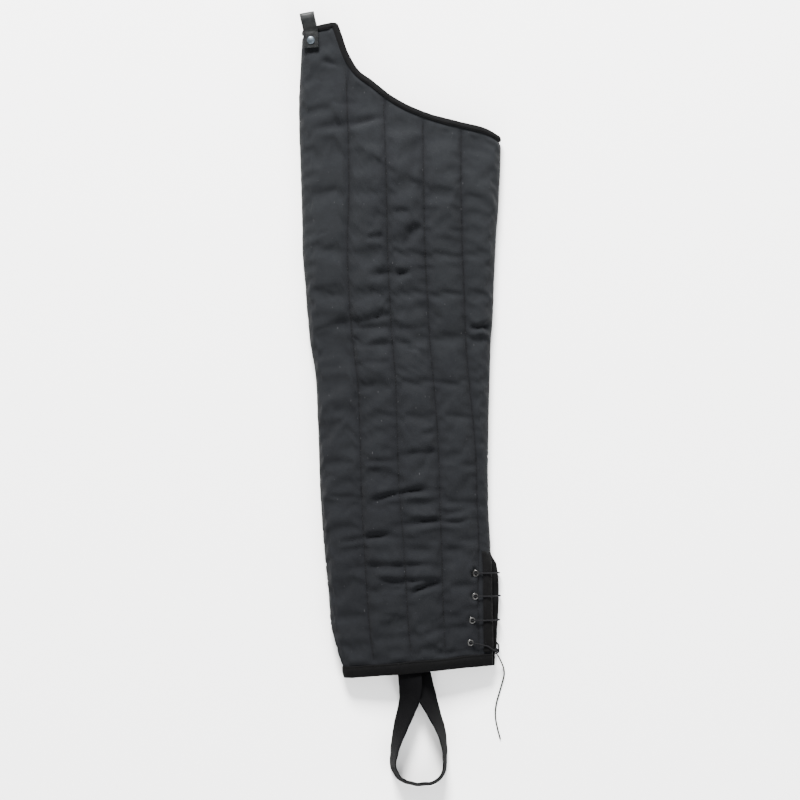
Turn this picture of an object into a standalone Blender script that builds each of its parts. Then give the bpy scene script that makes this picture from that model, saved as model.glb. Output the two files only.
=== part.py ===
"""A padded legging of the kind worn under leg armour, lying on its back on a flat surface.

One leg of quilted cloth, open at the thigh and at the ankle, with a bound top edge, a bound
hem, a laced vent at the inner side of the ankle, a webbing stirrup under the foot and a
riveted leather belt loop at the outer corner of the top edge. The thigh is at +Y, the hem at
-Y, the laced side at +X, and +Z is up from the surface that it lies on. Metres throughout.
"""

import math
from collections import namedtuple

import bmesh
import bpy
import numpy as np
from mathutils import Matrix, Vector
from mathutils.bvhtree import BVHTree

# Driving sizes of the padded leg
LEG_LENGTH = 0.911
THIGH_WIDTH = 0.280
TOP_DROP = 0.158
HEM_RISE = 0.018
WALL = 0.0085
STITCH_WALL = 0.0036
EDGE_WALL = 0.0043
STITCH_DIP = 0.0028
SIDE_HEIGHT = 0.024
SIDE_ROUND = 0.014
FOLD_LINE_HEIGHT = 0.011
CROWN = 0.028
MOUTH_EASE = 0.110
CREASE_DEPTH = 0.0032
CREASE_WIDTH = 0.0095

# Bindings
BINDING_WIDTH = 0.011
BINDING_THICK = 0.0015
FIT_GAP = 0.0006

# Vent and lacing
VENT_LENGTH = 0.165
VENT_EASE = 0.025
VENT_SHOW = 0.0088
VENT_LIFT = 0.0034
VENT_LIFT_REACH = 0.045
EYELET_INSET = 0.0217
EYELET_RADIUS = 0.0047
EYELET_BORE = 0.0022
EYELET_TUBE = 0.0006
FLANGE_THICK = 0.0010
FLANGE_SINK = 0.0004
LACE_DIAMETER = 0.0020
LACE_CLEARANCE = 0.0006
KNOT_LENGTH = 0.0085
KNOT_WIDTH = 0.0066

# Stirrup
STIRRUP_WIDTH = 0.033
STIRRUP_THICK = 0.0022
STIRRUP_DROP = 0.154
STIRRUP_SPREAD = 0.070
STIRRUP_TUCK = 0.033
STIRRUP_PLACE = 0.197
SEAT_START = 0.0165
SEAT_GAP = 0.0003

# Belt loop and rivet
LOOP_WIDTH = 0.0205
LOOP_REACH = 0.0205
LOOP_LAP = 0.0275
LOOP_THICK = 0.0021
LOOP_OPENING = 0.0066
LOOP_TURN = math.radians(3.5)
LOOP_PLACE = 0.0125
RIVET_HEAD = 0.0055
RIVET_DOME = 0.0022
RIVET_SHANK = 0.0020
RIVET_BURR = 0.0036
RIVET_FROM_EDGE = 0.0172

# Outline of the leg from hem to top. Height is a share of LEG_LENGTH, outer and inner are shares
# of half THIGH_WIDTH from the centre line, and crown is a share of CROWN.
Section = namedtuple("Section", "height outer inner crown")
SECTIONS = [
    Section(0.000, -0.570, 0.930, 0.34),
    Section(0.034, -0.630, 0.930, 0.42),
    Section(0.071, -0.670, 0.925, 0.50),
    Section(0.135, -0.705, 0.915, 0.62),
    Section(0.200, -0.745, 0.910, 0.68),
    Section(0.270, -0.780, 0.890, 0.66),
    Section(0.393, -0.810, 0.890, 0.72),
    Section(0.455, -0.830, 0.900, 0.70),
    Section(0.516, -0.890, 0.915, 0.66),
    Section(0.578, -0.930, 0.940, 0.80),
    Section(0.639, -0.955, 0.955, 0.92),
    Section(0.731, -0.970, 0.990, 1.00),
    Section(0.826, -0.995, 1.015, 0.88),
    Section(0.885, -1.000, 1.015, 0.66),
    Section(0.949, -0.980, 1.015, 0.46),
    Section(1.000, -0.965, 1.015, 0.30),
]

# Bound top edge. Across is a share of the width from the outer side, drop a share of TOP_DROP.
TopEdge = namedtuple("TopEdge", "across drop")
TOP_EDGE = [
    TopEdge(0.000, 0.062),
    TopEdge(0.080, 0.026),
    TopEdge(0.130, 0.008),
    TopEdge(0.170, 0.000),
    TopEdge(0.190, 0.080),
    TopEdge(0.220, 0.221),
    TopEdge(0.270, 0.380),
    TopEdge(0.365, 0.522),
    TopEdge(0.470, 0.664),
    TopEdge(0.640, 0.805),
    TopEdge(0.790, 0.876),
    TopEdge(0.940, 0.947),
    TopEdge(1.000, 1.000),
]

# Hem line. Across is a share of the width from the outer side, rise a share of HEM_RISE.
HemLine = namedtuple("HemLine", "across rise")
HEM_LINE = [
    HemLine(0.00, 0.00),
    HemLine(0.15, 0.12),
    HemLine(0.35, 0.30),
    HemLine(0.60, 0.57),
    HemLine(0.80, 0.82),
    HemLine(1.00, 1.00),
]

# Lengthwise stitch lines, as shares of the width at the thigh and at the ankle.
Stitch = namedtuple("Stitch", "thigh ankle")
STITCHES = [
    Stitch(0.045, 0.020),
    Stitch(0.240, 0.210),
    Stitch(0.430, 0.480),
    Stitch(0.620, 0.700),
    Stitch(0.810, 0.905),
]
THIGH_STATION = 0.75
ANKLE_STATION = 0.12

# How far the back edge of the vent shows past the front one. Down is a share of VENT_LENGTH
# from the top of the vent, show a share of VENT_SHOW.
VentEdge = namedtuple("VentEdge", "down show")
VENT_EDGE = [
    VentEdge(0.00, 0.00),
    VentEdge(0.20, 0.85),
    VentEdge(0.45, 1.00),
    VentEdge(0.75, 0.60),
    VentEdge(1.00, 0.40),
]

# Creases across the front. Ends are shares of half THIGH_WIDTH and of LEG_LENGTH, depth is a
# share of CREASE_DEPTH and width a share of CREASE_WIDTH.
Crease = namedtuple("Crease", "x0 y0 x1 y1 depth width")
CREASES = [
    Crease(-0.84, 0.8430, -0.20, 0.8525, 1.0, 1.0),
    Crease(-0.71, 0.8786, -0.38, 0.8786, 0.6, 1.0),
    Crease(-0.25, 0.6160, 0.12, 0.6160, 0.6, 1.1),
    Crease(-0.78, 0.5438, 0.30, 0.5438, 1.0, 1.5),
    Crease(0.70, 0.5360, 0.92, 0.5360, 0.6, 1.0),
    Crease(-0.34, 0.5080, -0.08, 0.5080, 0.5, 0.9),
    Crease(-0.42, 0.4820, -0.05, 0.4820, 0.6, 0.9),
    Crease(-0.43, 0.4440, -0.23, 0.4440, 0.5, 0.9),
    Crease(-0.34, 0.2688, 0.34, 0.2857, 1.0, 1.0),
    Crease(0.26, 0.2535, 0.84, 0.2535, 0.7, 0.9),
    Crease(-0.06, 0.2335, 0.46, 0.2412, 1.0, 0.9),
    Crease(-0.65, 0.2028, 0.06, 0.2197, 0.8, 1.0),
    Crease(-0.55, 0.1644, 0.47, 0.1767, 0.9, 1.0),
    Crease(0.14, 0.1306, 0.46, 0.1459, 1.0, 1.0),
    Crease(0.34, 0.0369, 0.76, 0.0369, 0.5, 0.8),
]

# Eyelets. Down is a share of VENT_LENGTH from the top of the vent, inset a share of EYELET_INSET.
Eyelet = namedtuple("Eyelet", "down inset")
EYELETS = [
    Eyelet(0.229, 1.00),
    Eyelet(0.424, 1.03),
    Eyelet(0.627, 1.26),
    Eyelet(0.814, 1.40),
]

# Route of the stirrup from one tucked end to the other. Side is a share of half STIRRUP_SPREAD,
# drop a share of STIRRUP_DROP below the hem, and tilt is in degrees from flat to on edge.
Strap = namedtuple("Strap", "side drop tilt")
STRAP_ROUTE = [
    Strap(-0.37, 0.00, 0),
    Strap(-0.38, 0.06, 6),
    Strap(-0.40, 0.144, 18),
    Strap(-0.43, 0.22, 28),
    Strap(-0.47, 0.30, 38),
    Strap(-0.58, 0.396, 46),
    Strap(-0.745, 0.505, 56),
    Strap(-0.89, 0.613, 67),
    Strap(-0.975, 0.72, 76),
    Strap(-1.00, 0.81, 84),
    Strap(-0.89, 0.90, 90),
    Strap(-0.63, 0.96, 90),
    Strap(-0.29, 0.99, 90),
    Strap(0.04, 1.00, 90),
    Strap(0.39, 0.99, 90),
    Strap(0.70, 0.96, 90),
    Strap(0.91, 0.90, 90),
    Strap(1.00, 0.81, 86),
    Strap(0.98, 0.72, 80),
    Strap(0.91, 0.613, 74),
    Strap(0.77, 0.505, 66),
    Strap(0.61, 0.396, 58),
    Strap(0.46, 0.30, 48),
    Strap(0.35, 0.22, 37),
    Strap(0.25, 0.144, 25),
    Strap(0.14, 0.06, 10),
    Strap(0.07, 0.00, 0),
]

# Free end of the lace. Aside and along are metres from the knot's centre, and up is a share of
# the height from the cord's middle as it lies on the surface to the knot's centre.
LaceEnd = namedtuple("LaceEnd", "aside along up")
LACE_END_ROUTE = [
    LaceEnd(0.0008, -0.0047, 0.97),
    LaceEnd(0.0032, -0.0084, 0.87),
    LaceEnd(0.0056, -0.0130, 0.62),
    LaceEnd(0.0076, -0.0175, 0.32),
    LaceEnd(0.0100, -0.0235, 0.06),
    LaceEnd(0.0113, -0.0300, 0.00),
    LaceEnd(0.0106, -0.0375, 0.00),
    LaceEnd(0.0085, -0.0455, 0.00),
    LaceEnd(0.0060, -0.0540, 0.00),
    LaceEnd(0.0034, -0.0630, 0.00),
    LaceEnd(0.0006, -0.0730, 0.00),
    LaceEnd(-0.0010, -0.0840, 0.00),
    LaceEnd(-0.0008, -0.0950, 0.00),
    LaceEnd(0.0012, -0.1060, 0.00),
    LaceEnd(0.0036, -0.1160, 0.00),
    LaceEnd(0.0060, -0.1250, 0.00),
]

ROWS_ABOVE_VENT = 23
ROWS_IN_VENT = 10
LINING_STEP = 4
HALF = THIGH_WIDTH / 2
FRONT, BACK = 1, -1

# Columns of the front and the back sheet from the outer fold to the inner one, each as the
# number of the lengthwise line before it and a share of the way to the next line.
FRONT_COLUMNS = [
    (0, 0.0), (0, 0.3), (1, 0.0), (1, 0.22), (1, 0.44), (1, 0.64), (1, 0.82),
    (2, 0.0), (2, 0.22), (2, 0.5), (2, 0.78), (3, 0.0), (3, 0.22), (3, 0.5), (3, 0.78),
    (4, 0.0), (4, 0.22), (4, 0.5), (4, 0.78), (5, 0.0), (5, 0.5), (6, 0.0), (6, 0.65), (7, 0.0),
]
BACK_COLUMNS = [
    (0, 0.3), (1, 0.0), (1, 0.3), (1, 0.64), (1, 0.82), (2, 0.0), (2, 0.22), (2, 0.78),
    (3, 0.0), (3, 0.22), (3, 0.78), (4, 0.0), (4, 0.22), (4, 0.78), (5, 0.0), (5, 0.5),
    (6, 0.0), (6, 0.65), (7, 0.0),
]


def smooth(t):
    """Rises from 0 to 1 with level ends."""
    t = np.clip(t, 0.0, 1.0)
    return t * t * (3 - 2 * t)


def quarter(t):
    """A quarter round: 0 at 0, upright there, and level at 1."""
    return np.sqrt(1 - (1 - np.clip(t, 0.0, 1.0)) ** 2)


def read(table, across, column, at):
    """Reads a table's column at a place with a smooth curve through its rows."""
    xs = np.array([getattr(row, across) for row in table])
    ys = np.array([getattr(row, column) for row in table])
    slopes = np.gradient(ys, xs)
    at = np.clip(at, xs[0], xs[-1])
    i = np.clip(np.searchsorted(xs, at) - 1, 0, len(xs) - 2)
    step = xs[i + 1] - xs[i]
    t = (at - xs[i]) / step
    return (
        ys[i] * (1 + 2 * t) * (1 - t) ** 2
        + slopes[i] * step * t * (1 - t) ** 2
        + ys[i + 1] * t * t * (3 - 2 * t)
        + slopes[i + 1] * step * t * t * (t - 1)
    )


def vent_top():
    return HEM_RISE + VENT_LENGTH


def vent_open(y):
    """How far the vent has opened at a height: 0 at its top and above, 1 below its easing."""
    return smooth((vent_top() - y) / VENT_EASE)


def outer_x(y):
    return HALF * read(SECTIONS, "height", "outer", y / LEG_LENGTH)


def inner_x(y, sheet):
    """The inner side's place, where the back sheet shows past the front one in the vent."""
    x = HALF * read(SECTIONS, "height", "inner", y / LEG_LENGTH)
    if sheet == BACK:
        down = (vent_top() - y) / VENT_LENGTH
        x = x + VENT_SHOW * read(VENT_EDGE, "down", "show", down) * vent_open(y)
    return x


def line_shares(y, sheet):
    """Shares of the width where the lengthwise lines lie at a height: fold, stitches, tape, fold."""
    t = smooth((y / LEG_LENGTH - ANKLE_STATION) / (THIGH_STATION - ANKLE_STATION))
    lines = [0 * t]
    lines += [s.ankle + (s.thigh - s.ankle) * t for s in STITCHES]
    tape = 1 - BINDING_WIDTH / (inner_x(y, sheet) - outer_x(y))
    return lines + [tape, 0 * t + 1]


def column_share(column, y, sheet):
    line, part = column
    lines = line_shares(y, sheet)
    if part == 0:
        return lines[line]
    return lines[line] * (1 - part) + lines[line + 1] * part


def edge_point(share, sheet, where):
    """A point of the top edge or of the hem, as x and y on the flat."""
    if where == "top":
        drop = np.interp(share, [r.across for r in TOP_EDGE], [r.drop for r in TOP_EDGE])
        y = LEG_LENGTH - TOP_DROP * drop
    else:
        y = HEM_RISE * read(HEM_LINE, "across", "rise", share)
    left = outer_x(y)
    return left + share * (inner_x(y, sheet) - left), y


def tape_point(share, sheet, where):
    """The point a binding's width inside the edge, square to it, as a share and a height."""
    x, y = edge_point(share, sheet, where)
    into = -1 if where == "top" else 1
    if share < 1e-6 or share > 1 - 1e-6:
        return share, y + into * BINDING_WIDTH
    step = 0.012
    x0, y0 = edge_point(max(share - step, 0), sheet, where)
    x1, y1 = edge_point(min(share + step, 1), sheet, where)
    along = Vector((x1 - x0, y1 - y0)).normalized()
    x -= along.y * into * BINDING_WIDTH
    y += along.x * into * BINDING_WIDTH
    left = outer_x(y)
    return float((x - left) / (inner_x(y, sheet) - left)), y


def column_points(column, sheet, downs):
    """Shares and heights of one column's points, from the top edge to the hem.

    The first two and the last two follow the bound edges, a binding's width apart, and the
    rest are spread between them by the shares in downs.
    """
    lowest, highest = 0.0, LEG_LENGTH
    top_share = float(column_share(column, highest, sheet))
    hem_share = float(column_share(column, lowest, sheet))
    top_in, top_y = tape_point(top_share, sheet, "top")
    hem_in, hem_y = tape_point(hem_share, sheet, "hem")
    ys = top_y + (hem_y - top_y) * downs
    shares = np.array([column_share(column, y, sheet) for y in ys], dtype=float)
    shares += (top_in - shares[0]) * (1 - smooth(downs / 0.08))
    shares += (hem_in - shares[-1]) * smooth((downs - 0.92) / 0.08)
    ys = np.concatenate([[edge_point(top_share, sheet, "top")[1]], ys,
                         [edge_point(hem_share, sheet, "hem")[1]]])
    return np.concatenate([[top_share], shares, [hem_share]]), ys


def crease_depth(x, y):
    """Depth of the creases at points of the front sheet: a valley with a low lip on each side."""
    depth = np.zeros_like(x)
    for c in CREASES:
        start = np.array([c.x0 * HALF, c.y0 * LEG_LENGTH])
        run = np.array([c.x1 * HALF, c.y1 * LEG_LENGTH]) - start
        length = math.hypot(*run)
        along = ((x - start[0]) * run[0] + (y - start[1]) * run[1]) / length**2
        aside = ((y - start[1]) * run[0] - (x - start[0]) * run[1]) / length
        width = CREASE_WIDTH * c.width
        shape = np.exp(-((aside / width) ** 2))
        for lip in (-1.9, 1.9):
            shape -= 0.4 * np.exp(-((aside / width - lip) ** 2))
        taper = smooth(along / 0.15) * smooth((1 - along) / 0.15)
        depth += CREASE_DEPTH * c.depth * shape * taper
    return depth


def envelope(shares, ys, sheet, downs):
    """The outer and the lining surface before stitches and creases, as two arrays of points.

    Seen in section, a sheet turns up from the fold line in a quarter round at each side, and
    the front sheet is crowned between them. Where the vent is open its sheets end level.
    """
    left = outer_x(ys)
    width = inner_x(ys, sheet) - left
    x = left + shares * width
    opened = vent_open(ys)
    from_inner = (1 - shares) * width
    turn_out = quarter(shares * width / SIDE_ROUND)
    turn_in = quarter(from_inner / SIDE_ROUND)
    turn = turn_out * (turn_in + (1 - turn_in) * opened)
    lining_x = x + WALL * (1 - smooth(shares * width / (2 * SIDE_ROUND)))
    lining_x -= WALL * (1 - smooth(from_inner / (2 * SIDE_ROUND))) * (1 - opened)
    if sheet == FRONT:
        mouth = 0.4 + 0.6 * smooth(downs * LEG_LENGTH / MOUTH_EASE)
        crown = CROWN * read(SECTIONS, "height", "crown", ys / LEG_LENGTH) * mouth
        crown = crown * np.sin(np.pi * np.clip(shares, 0, 1)) ** 0.8
        z = FOLD_LINE_HEIGHT + (SIDE_HEIGHT - FOLD_LINE_HEIGHT) * turn + crown
        lining_z = FOLD_LINE_HEIGHT + (SIDE_HEIGHT - FOLD_LINE_HEIGHT - WALL) * turn + crown
    else:
        lift = VENT_LIFT * opened * smooth((2 * VENT_LIFT_REACH - from_inner) / VENT_LIFT_REACH)
        z = FOLD_LINE_HEIGHT * (1 - turn) + lift
        lining_z = FOLD_LINE_HEIGHT - (FOLD_LINE_HEIGHT - WALL) * turn + lift
    return np.stack([x, ys, z], -1), np.stack([lining_x, ys, lining_z], -1)


def normals(points, closed_rows):
    """Unit normals of a grid of points, facing out of the tube."""
    down = np.gradient(points, axis=0)
    around = np.gradient(points, axis=1)
    joined = points[:closed_rows]
    ring = joined[:, 1] - joined[:, -2]
    around[:closed_rows, 0] = ring
    around[:closed_rows, -1] = ring
    out = np.cross(down, around)
    return out / np.linalg.norm(out, axis=-1, keepdims=True)


def leg_grids():
    """Points of the leg's outer and lining surfaces, rows down and columns round.

    The columns start at the vent's back edge, run over the back sheet to the outer fold and
    over the front sheet to the vent's front edge. Returns the two grids and the vent's top row.
    """
    top_y = tape_point(1.0, FRONT, "top")[1]
    hem_y = tape_point(1.0, FRONT, "hem")[1]
    vent_down = (top_y - vent_top()) / (top_y - hem_y)
    downs = np.concatenate([
        np.linspace(0, vent_down, ROWS_ABOVE_VENT),
        np.linspace(vent_down, 1, ROWS_IN_VENT + 1)[1:],
    ])
    all_downs = np.concatenate([[0], downs, [1]])
    vent_row = ROWS_ABOVE_VENT
    columns = [(c, BACK) for c in reversed(BACK_COLUMNS)] + [(c, FRONT) for c in FRONT_COLUMNS]
    outer, lining, dips, edges = [], [], [], []
    for column, sheet in columns:
        shares, ys = column_points(column, sheet, downs)
        out_points, in_points = envelope(shares, ys, sheet, all_downs)
        outer.append(out_points)
        lining.append(in_points)
        line, part = column
        dips.append(np.full(len(ys), 1.0 if part == 0 and 1 <= line <= len(STITCHES) else 0.0))
        on_tape = np.zeros(len(ys))
        on_tape[[0, 1, -2, -1]] = 1
        if line >= len(STITCHES) + 1:
            on_tape = np.maximum(on_tape, vent_open(ys))
        edges.append(on_tape)
    outer, lining = np.stack(outer, 1), np.stack(lining, 1)
    dips, edges = np.stack(dips, 1), np.stack(edges, 1)
    closed = vent_row + 1
    for grid in (outer, lining):
        grid[:closed, -1] = grid[:closed, 0]
    edge_dip = BINDING_THICK + FIT_GAP + SEAT_GAP
    dip_out = STITCH_DIP * dips * (1 - edges) + edge_dip * edges
    dip_in = (WALL - STITCH_DIP - STITCH_WALL) * dips * (1 - edges)
    dip_in += (WALL - edge_dip - EDGE_WALL) * edges
    front = np.array([sheet == FRONT for _, sheet in columns])
    crease = crease_depth(outer[..., 0], outer[..., 1]) * front * (1 - edges)
    dip_out += crease * np.where(crease > 0, 1 - dips, 1.0)
    outer = outer - normals(outer, closed) * dip_out[..., None]
    lining = lining + normals(lining, closed) * dip_in[..., None]
    for grid in (outer, lining):
        grid[:closed, -1] = grid[:closed, 0]
    outer[..., 2] = np.maximum(outer[..., 2], 0.0)
    return outer, lining, vent_row


def leg_mesh(outer, lining, vent_row):
    """One closed wall: outer surface, lining, both bound ends and the two edges of the vent."""
    rows, columns = outer.shape[:2]
    lining_rows = [0] + list(range(1, vent_row, LINING_STEP)) + list(range(vent_row, rows))
    mesh = bmesh.new()

    def grid_vertices(grid, used_rows):
        found = {}
        for j in used_rows:
            for k in range(columns):
                joined = k == columns - 1 and j <= vent_row
                found[j, k] = found[j, 0] if joined else mesh.verts.new(grid[j, k])
        return found

    def cell(found, j, below, k, facing_out):
        """Two triangles over one cell, split the way that the tapes over it are split."""
        corners = [found[j, k], found[below, k], found[below, k + 1], found[j, k + 1]]
        if j == rows - 2 or (j >= vent_row and k >= columns - 3):
            corners = corners[1:] + corners[:1]
        halves = [corners[:3], [corners[0], corners[2], corners[3]]]
        for half in halves:
            mesh.faces.new(half if facing_out else half[::-1])

    def rim(one, two, forwards):
        """Two triangles across the wall's edge, from one station to the next."""
        halves = [(skin[one], skin[two], inside[one]), (skin[two], inside[two], inside[one])]
        for half in halves:
            mesh.faces.new(half if forwards else half[::-1])

    skin = grid_vertices(outer, range(rows))
    inside = grid_vertices(lining, lining_rows)
    for k in range(columns - 1):
        for j in range(rows - 1):
            cell(skin, j, j + 1, k, True)
        for j, below in zip(lining_rows, lining_rows[1:]):
            cell(inside, j, below, k, False)
        rim((0, k), (0, k + 1), True)
        rim((rows - 1, k), (rows - 1, k + 1), False)
    side = columns - 1
    for j in range(vent_row, rows - 1):
        rim((j, 0), (j + 1, 0), False)
        rim((j, side), (j + 1, side), True)
    return mesh


def tube_between(rings, closed, levels=None):
    """Joins rings of points into a closed skin, with flat ends where it isn't a loop.

    Levels say how near the edge each point of a tape's ring is, and split its cells like the
    leg's: from a ring's point nearer the edge to the next ring's point farther from it.
    """
    mesh = bmesh.new()
    made = [[mesh.verts.new(p) for p in ring] for ring in rings]
    count = len(made[0])
    pairs = list(zip(made, made[1:]))
    if closed:
        pairs.append((made[-1], made[0]))
    for one, two in pairs:
        for i in range(count):
            n = (i + 1) % count
            if levels is None:
                mesh.faces.new((one[i], one[n], two[n], two[i]))
            elif levels[n] > levels[i]:
                mesh.faces.new((one[i], one[n], two[i]))
                mesh.faces.new((one[n], two[n], two[i]))
            else:
                mesh.faces.new((one[i], one[n], two[n]))
                mesh.faces.new((one[i], two[n], two[i]))
    if not closed:
        mesh.faces.new(list(reversed(made[0])))
        mesh.faces.new(made[-1])
    bmesh.ops.recalc_face_normals(mesh, faces=mesh.faces)
    return mesh


def tape_ring(skin, skin_facing, inside, inside_facing):
    """A folded tape's section over one edge, as a loop of points.

    Each side lists the leg's own points from the tape's depth to the edge, with the way that
    its surface faces there. The tape stands FIT_GAP off them, and its fold is rounded with two
    extra corners.
    """
    out = Vector(skin[-1] - skin[0] + inside[-1] - inside[0]).normalized()

    def stood_off(points, facing, gap, sign):
        moved = []
        for point, way in zip(points, facing):
            way = Vector(way)
            way = (way - out * way.dot(out)).normalized()
            moved.append(Vector(point) + way * gap * sign)
        return moved

    near, far = FIT_GAP, FIT_GAP + BINDING_THICK
    corner = FIT_GAP + 0.35 * BINDING_THICK
    over = [stood_off(skin, skin_facing, gap, 1) for gap in (near, far, corner)]
    under = [stood_off(inside, inside_facing, gap, -1) for gap in (near, far, corner)]
    close = over[0][:-1] + [over[0][-1] + out * near, under[0][-1] + out * near] + under[0][-2::-1]
    wide = over[1][:-1] + [over[1][-1] + out * corner, over[2][-1] + out * far]
    wide += [under[2][-1] + out * far, under[1][-1] + out * corner] + under[1][-2::-1]
    return wide + close[::-1]


def tape_levels(count):
    """How near the edge each point of a tape's ring is, for so many of the leg's points a side."""
    side = list(range(count))
    wide = side + [count, count] + side[::-1]
    return wide + side + side[::-1]


def edge_binding(skin, skin_facing, inside, inside_facing, rows, columns, closed):
    """A folded tape round a bound end; rows run from the tape's depth to the edge."""
    rings = []
    for k in columns:
        grids = (skin, skin_facing, inside, inside_facing)
        rings.append(tape_ring(*[[grid[j, k] for j in rows] for grid in grids]))
    return tube_between(rings, closed, tape_levels(len(rows)))


def vent_binding(skin, skin_facing, inside, inside_facing, rows, columns):
    """A folded tape down one edge of the vent; columns run from its depth to the edge."""
    rings = []
    for j in rows:
        grids = (skin, skin_facing, inside, inside_facing)
        rings.append(tape_ring(*[[grid[j, k] for k in columns] for grid in grids]))
    return tube_between(rings, False, tape_levels(len(columns)))


def drawn_up(grid, row, share):
    """A grid with one row drawn up towards the row above, so that a tape ends clear of the hem's."""
    grid = grid.copy()
    grid[row] = grid[row] * (1 - share) + grid[row - 1] * share
    return grid


def strip(centres, sides, thick):
    """A flat strap: a rectangle carried along a route, with sides the vector to each edge."""
    rings = []
    for i, (centre, side) in enumerate(zip(centres, sides)):
        before, after = centres[max(i - 1, 0)], centres[min(i + 1, len(centres) - 1)]
        face = (after - before).cross(side).normalized() * thick / 2
        rings.append([centre - side - face, centre + side - face,
                      centre + side + face, centre - side + face])
    return tube_between(rings, False)


def turned(profile, place, sides):
    """A profile of radius and height, turned about the axis that place stands on."""
    mesh = bmesh.new()
    rings = []
    for radius, height in profile:
        if radius == 0:
            rings.append([mesh.verts.new((0, 0, height))])
            continue
        angles = [math.tau * i / sides for i in range(sides)]
        rings.append([mesh.verts.new((radius * math.cos(a), radius * math.sin(a), height))
                      for a in angles])
    loop = profile[0][0] > 0
    pairs = list(zip(rings, rings[1:])) + ([(rings[-1], rings[0])] if loop else [])
    for one, two in pairs:
        for i in range(sides):
            n = (i + 1) % sides
            if len(one) == 1:
                mesh.faces.new((one[0], two[n], two[i]))
            elif len(two) == 1:
                mesh.faces.new((one[i], one[n], two[0]))
            else:
                mesh.faces.new((one[i], one[n], two[n], two[i]))
    bmesh.ops.recalc_face_normals(mesh, faces=mesh.faces)
    bmesh.ops.transform(mesh, matrix=place, verts=mesh.verts)
    return mesh


def standing(point, axis):
    """The placement that puts a turned piece at a point, along an axis."""
    return Matrix.Translation(point) @ axis.to_track_quat("Z", "Y").to_matrix().to_4x4()


def eyelet_profile(low, high, grow):
    """The section of an eyelet between two wall faces, or of its seat when grown by a gap."""
    bore = EYELET_BORE - grow
    tube = EYELET_BORE + EYELET_TUBE + grow
    rim = EYELET_RADIUS + grow
    if grow:
        return [(0, low - FLANGE_THICK * 3), (rim, low - FLANGE_THICK * 3),
                (rim, low + FLANGE_SINK + grow), (tube, low + FLANGE_SINK + grow),
                (tube, high - FLANGE_SINK - grow), (rim, high - FLANGE_SINK - grow),
                (rim, high + FLANGE_THICK * 3), (0, high + FLANGE_THICK * 3)]
    under, over = low + FLANGE_SINK, high - FLANGE_SINK
    return [(bore, under - FLANGE_THICK), (rim - 0.0009, under - FLANGE_THICK),
            (rim, under), (tube, under), (tube, over), (rim, over),
            (rim - 0.0009, over + FLANGE_THICK), (bore, over + FLANGE_THICK)]


def tree_of(*meshes):
    """One search tree over several meshes, for seating one piece on another."""
    verts, faces = [], []
    for mesh in meshes:
        mesh.verts.index_update()
        base = len(verts)
        verts += [v.co.copy() for v in mesh.verts]
        faces += [[base + v.index for v in f.verts] for f in mesh.faces]
    return BVHTree.FromPolygons(verts, faces)


def drop_on(tree, x, y, start, down=True):
    """The height of the first surface met from a start height, looking down or up."""
    hit = tree.ray_cast(Vector((x, y, start)), Vector((0, 0, -1 if down else 1)))[0]
    return hit.z if hit else None


def wall_at(tree, x, y, sheet):
    """A sheet's outer face and lining at a place, with the direction square to it, outwards."""
    start, way = (0.2, -1) if sheet == FRONT else (-0.1, 1)
    look = Vector((0, 0, way))
    first, facing, _, _ = tree.ray_cast(Vector((x, y, start)), look)
    axis = (facing - look).normalized()
    second = tree.ray_cast(first - axis * 0.0005, -axis)[0]
    return first, second, axis


def smooth_route(points, spacing):
    """Points at an even spacing on a smooth curve through a route's own points.

    The curve is a centripetal spline: its parameter runs with the root of each step's length,
    so that it stays close to the route where short steps follow long ones.
    """
    ends = [2 * points[0] - points[1]] + points + [2 * points[-1] - points[-2]]
    fine = []
    for i in range(len(points) - 1):
        a, b, c, d = ends[i : i + 4]
        t1 = math.sqrt((b - a).length)
        t2 = t1 + math.sqrt((c - b).length)
        t3 = t2 + math.sqrt((d - c).length)
        for t in np.linspace(t1, t2, 12, endpoint=False):
            ab = a.lerp(b, t / t1)
            bc = b.lerp(c, (t - t1) / (t2 - t1))
            cd = c.lerp(d, (t - t2) / (t3 - t2))
            fine.append(ab.lerp(bc, t / t2).lerp(bc.lerp(cd, (t - t1) / (t3 - t1)), (t - t1) / (t2 - t1)))
    fine.append(points[-1])
    lengths = np.cumsum([0] + [(q - p).length for p, q in zip(fine, fine[1:])])
    count = max(3, round(lengths[-1] / spacing))
    wanted = np.linspace(0, lengths[-1], count + 1)
    xyz = [np.interp(wanted, lengths, [p[i] for p in fine]) for i in range(3)]
    return [Vector(p) for p in zip(*xyz)]


def material(name, colour, roughness, metallic=0.0):
    made = bpy.data.materials.new(name)
    made.use_nodes = True
    shader = made.node_tree.nodes["Principled BSDF"]
    shader.inputs["Base Color"].default_value = (*colour, 1)
    shader.inputs["Roughness"].default_value = roughness
    shader.inputs["Metallic"].default_value = metallic
    return made


def new_object(name, data, finish, holder):
    piece = bpy.data.objects.new(name, data)
    piece.data.materials.append(finish)
    bpy.context.collection.objects.link(piece)
    piece.parent = holder
    return piece


def mesh_object(name, mesh, finish, holder, sharp=50):
    data = bpy.data.meshes.new(name)
    bmesh.ops.triangulate(mesh, faces=[f for f in mesh.faces if len(f.verts) > 4])
    mesh.to_mesh(data)
    data.shade_smooth()
    data.set_sharp_from_angle(angle=math.radians(sharp))
    return new_object(name, data, finish, holder)


def cord_object(name, route, finish, holder):
    """A round cord along a route, with closed ends."""
    data = bpy.data.curves.new(name, "CURVE")
    data.dimensions = "3D"
    data.bevel_depth = LACE_DIAMETER / 2
    data.bevel_resolution = 1
    data.use_fill_caps = True
    points = smooth_route(route, LACE_DIAMETER * 2.4)
    spline = data.splines.new("POLY")
    spline.points.add(len(points) - 1)
    for point, place in zip(spline.points, points):
        point.co = (*place, 1)
    return new_object(name, data, finish, holder)


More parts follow.
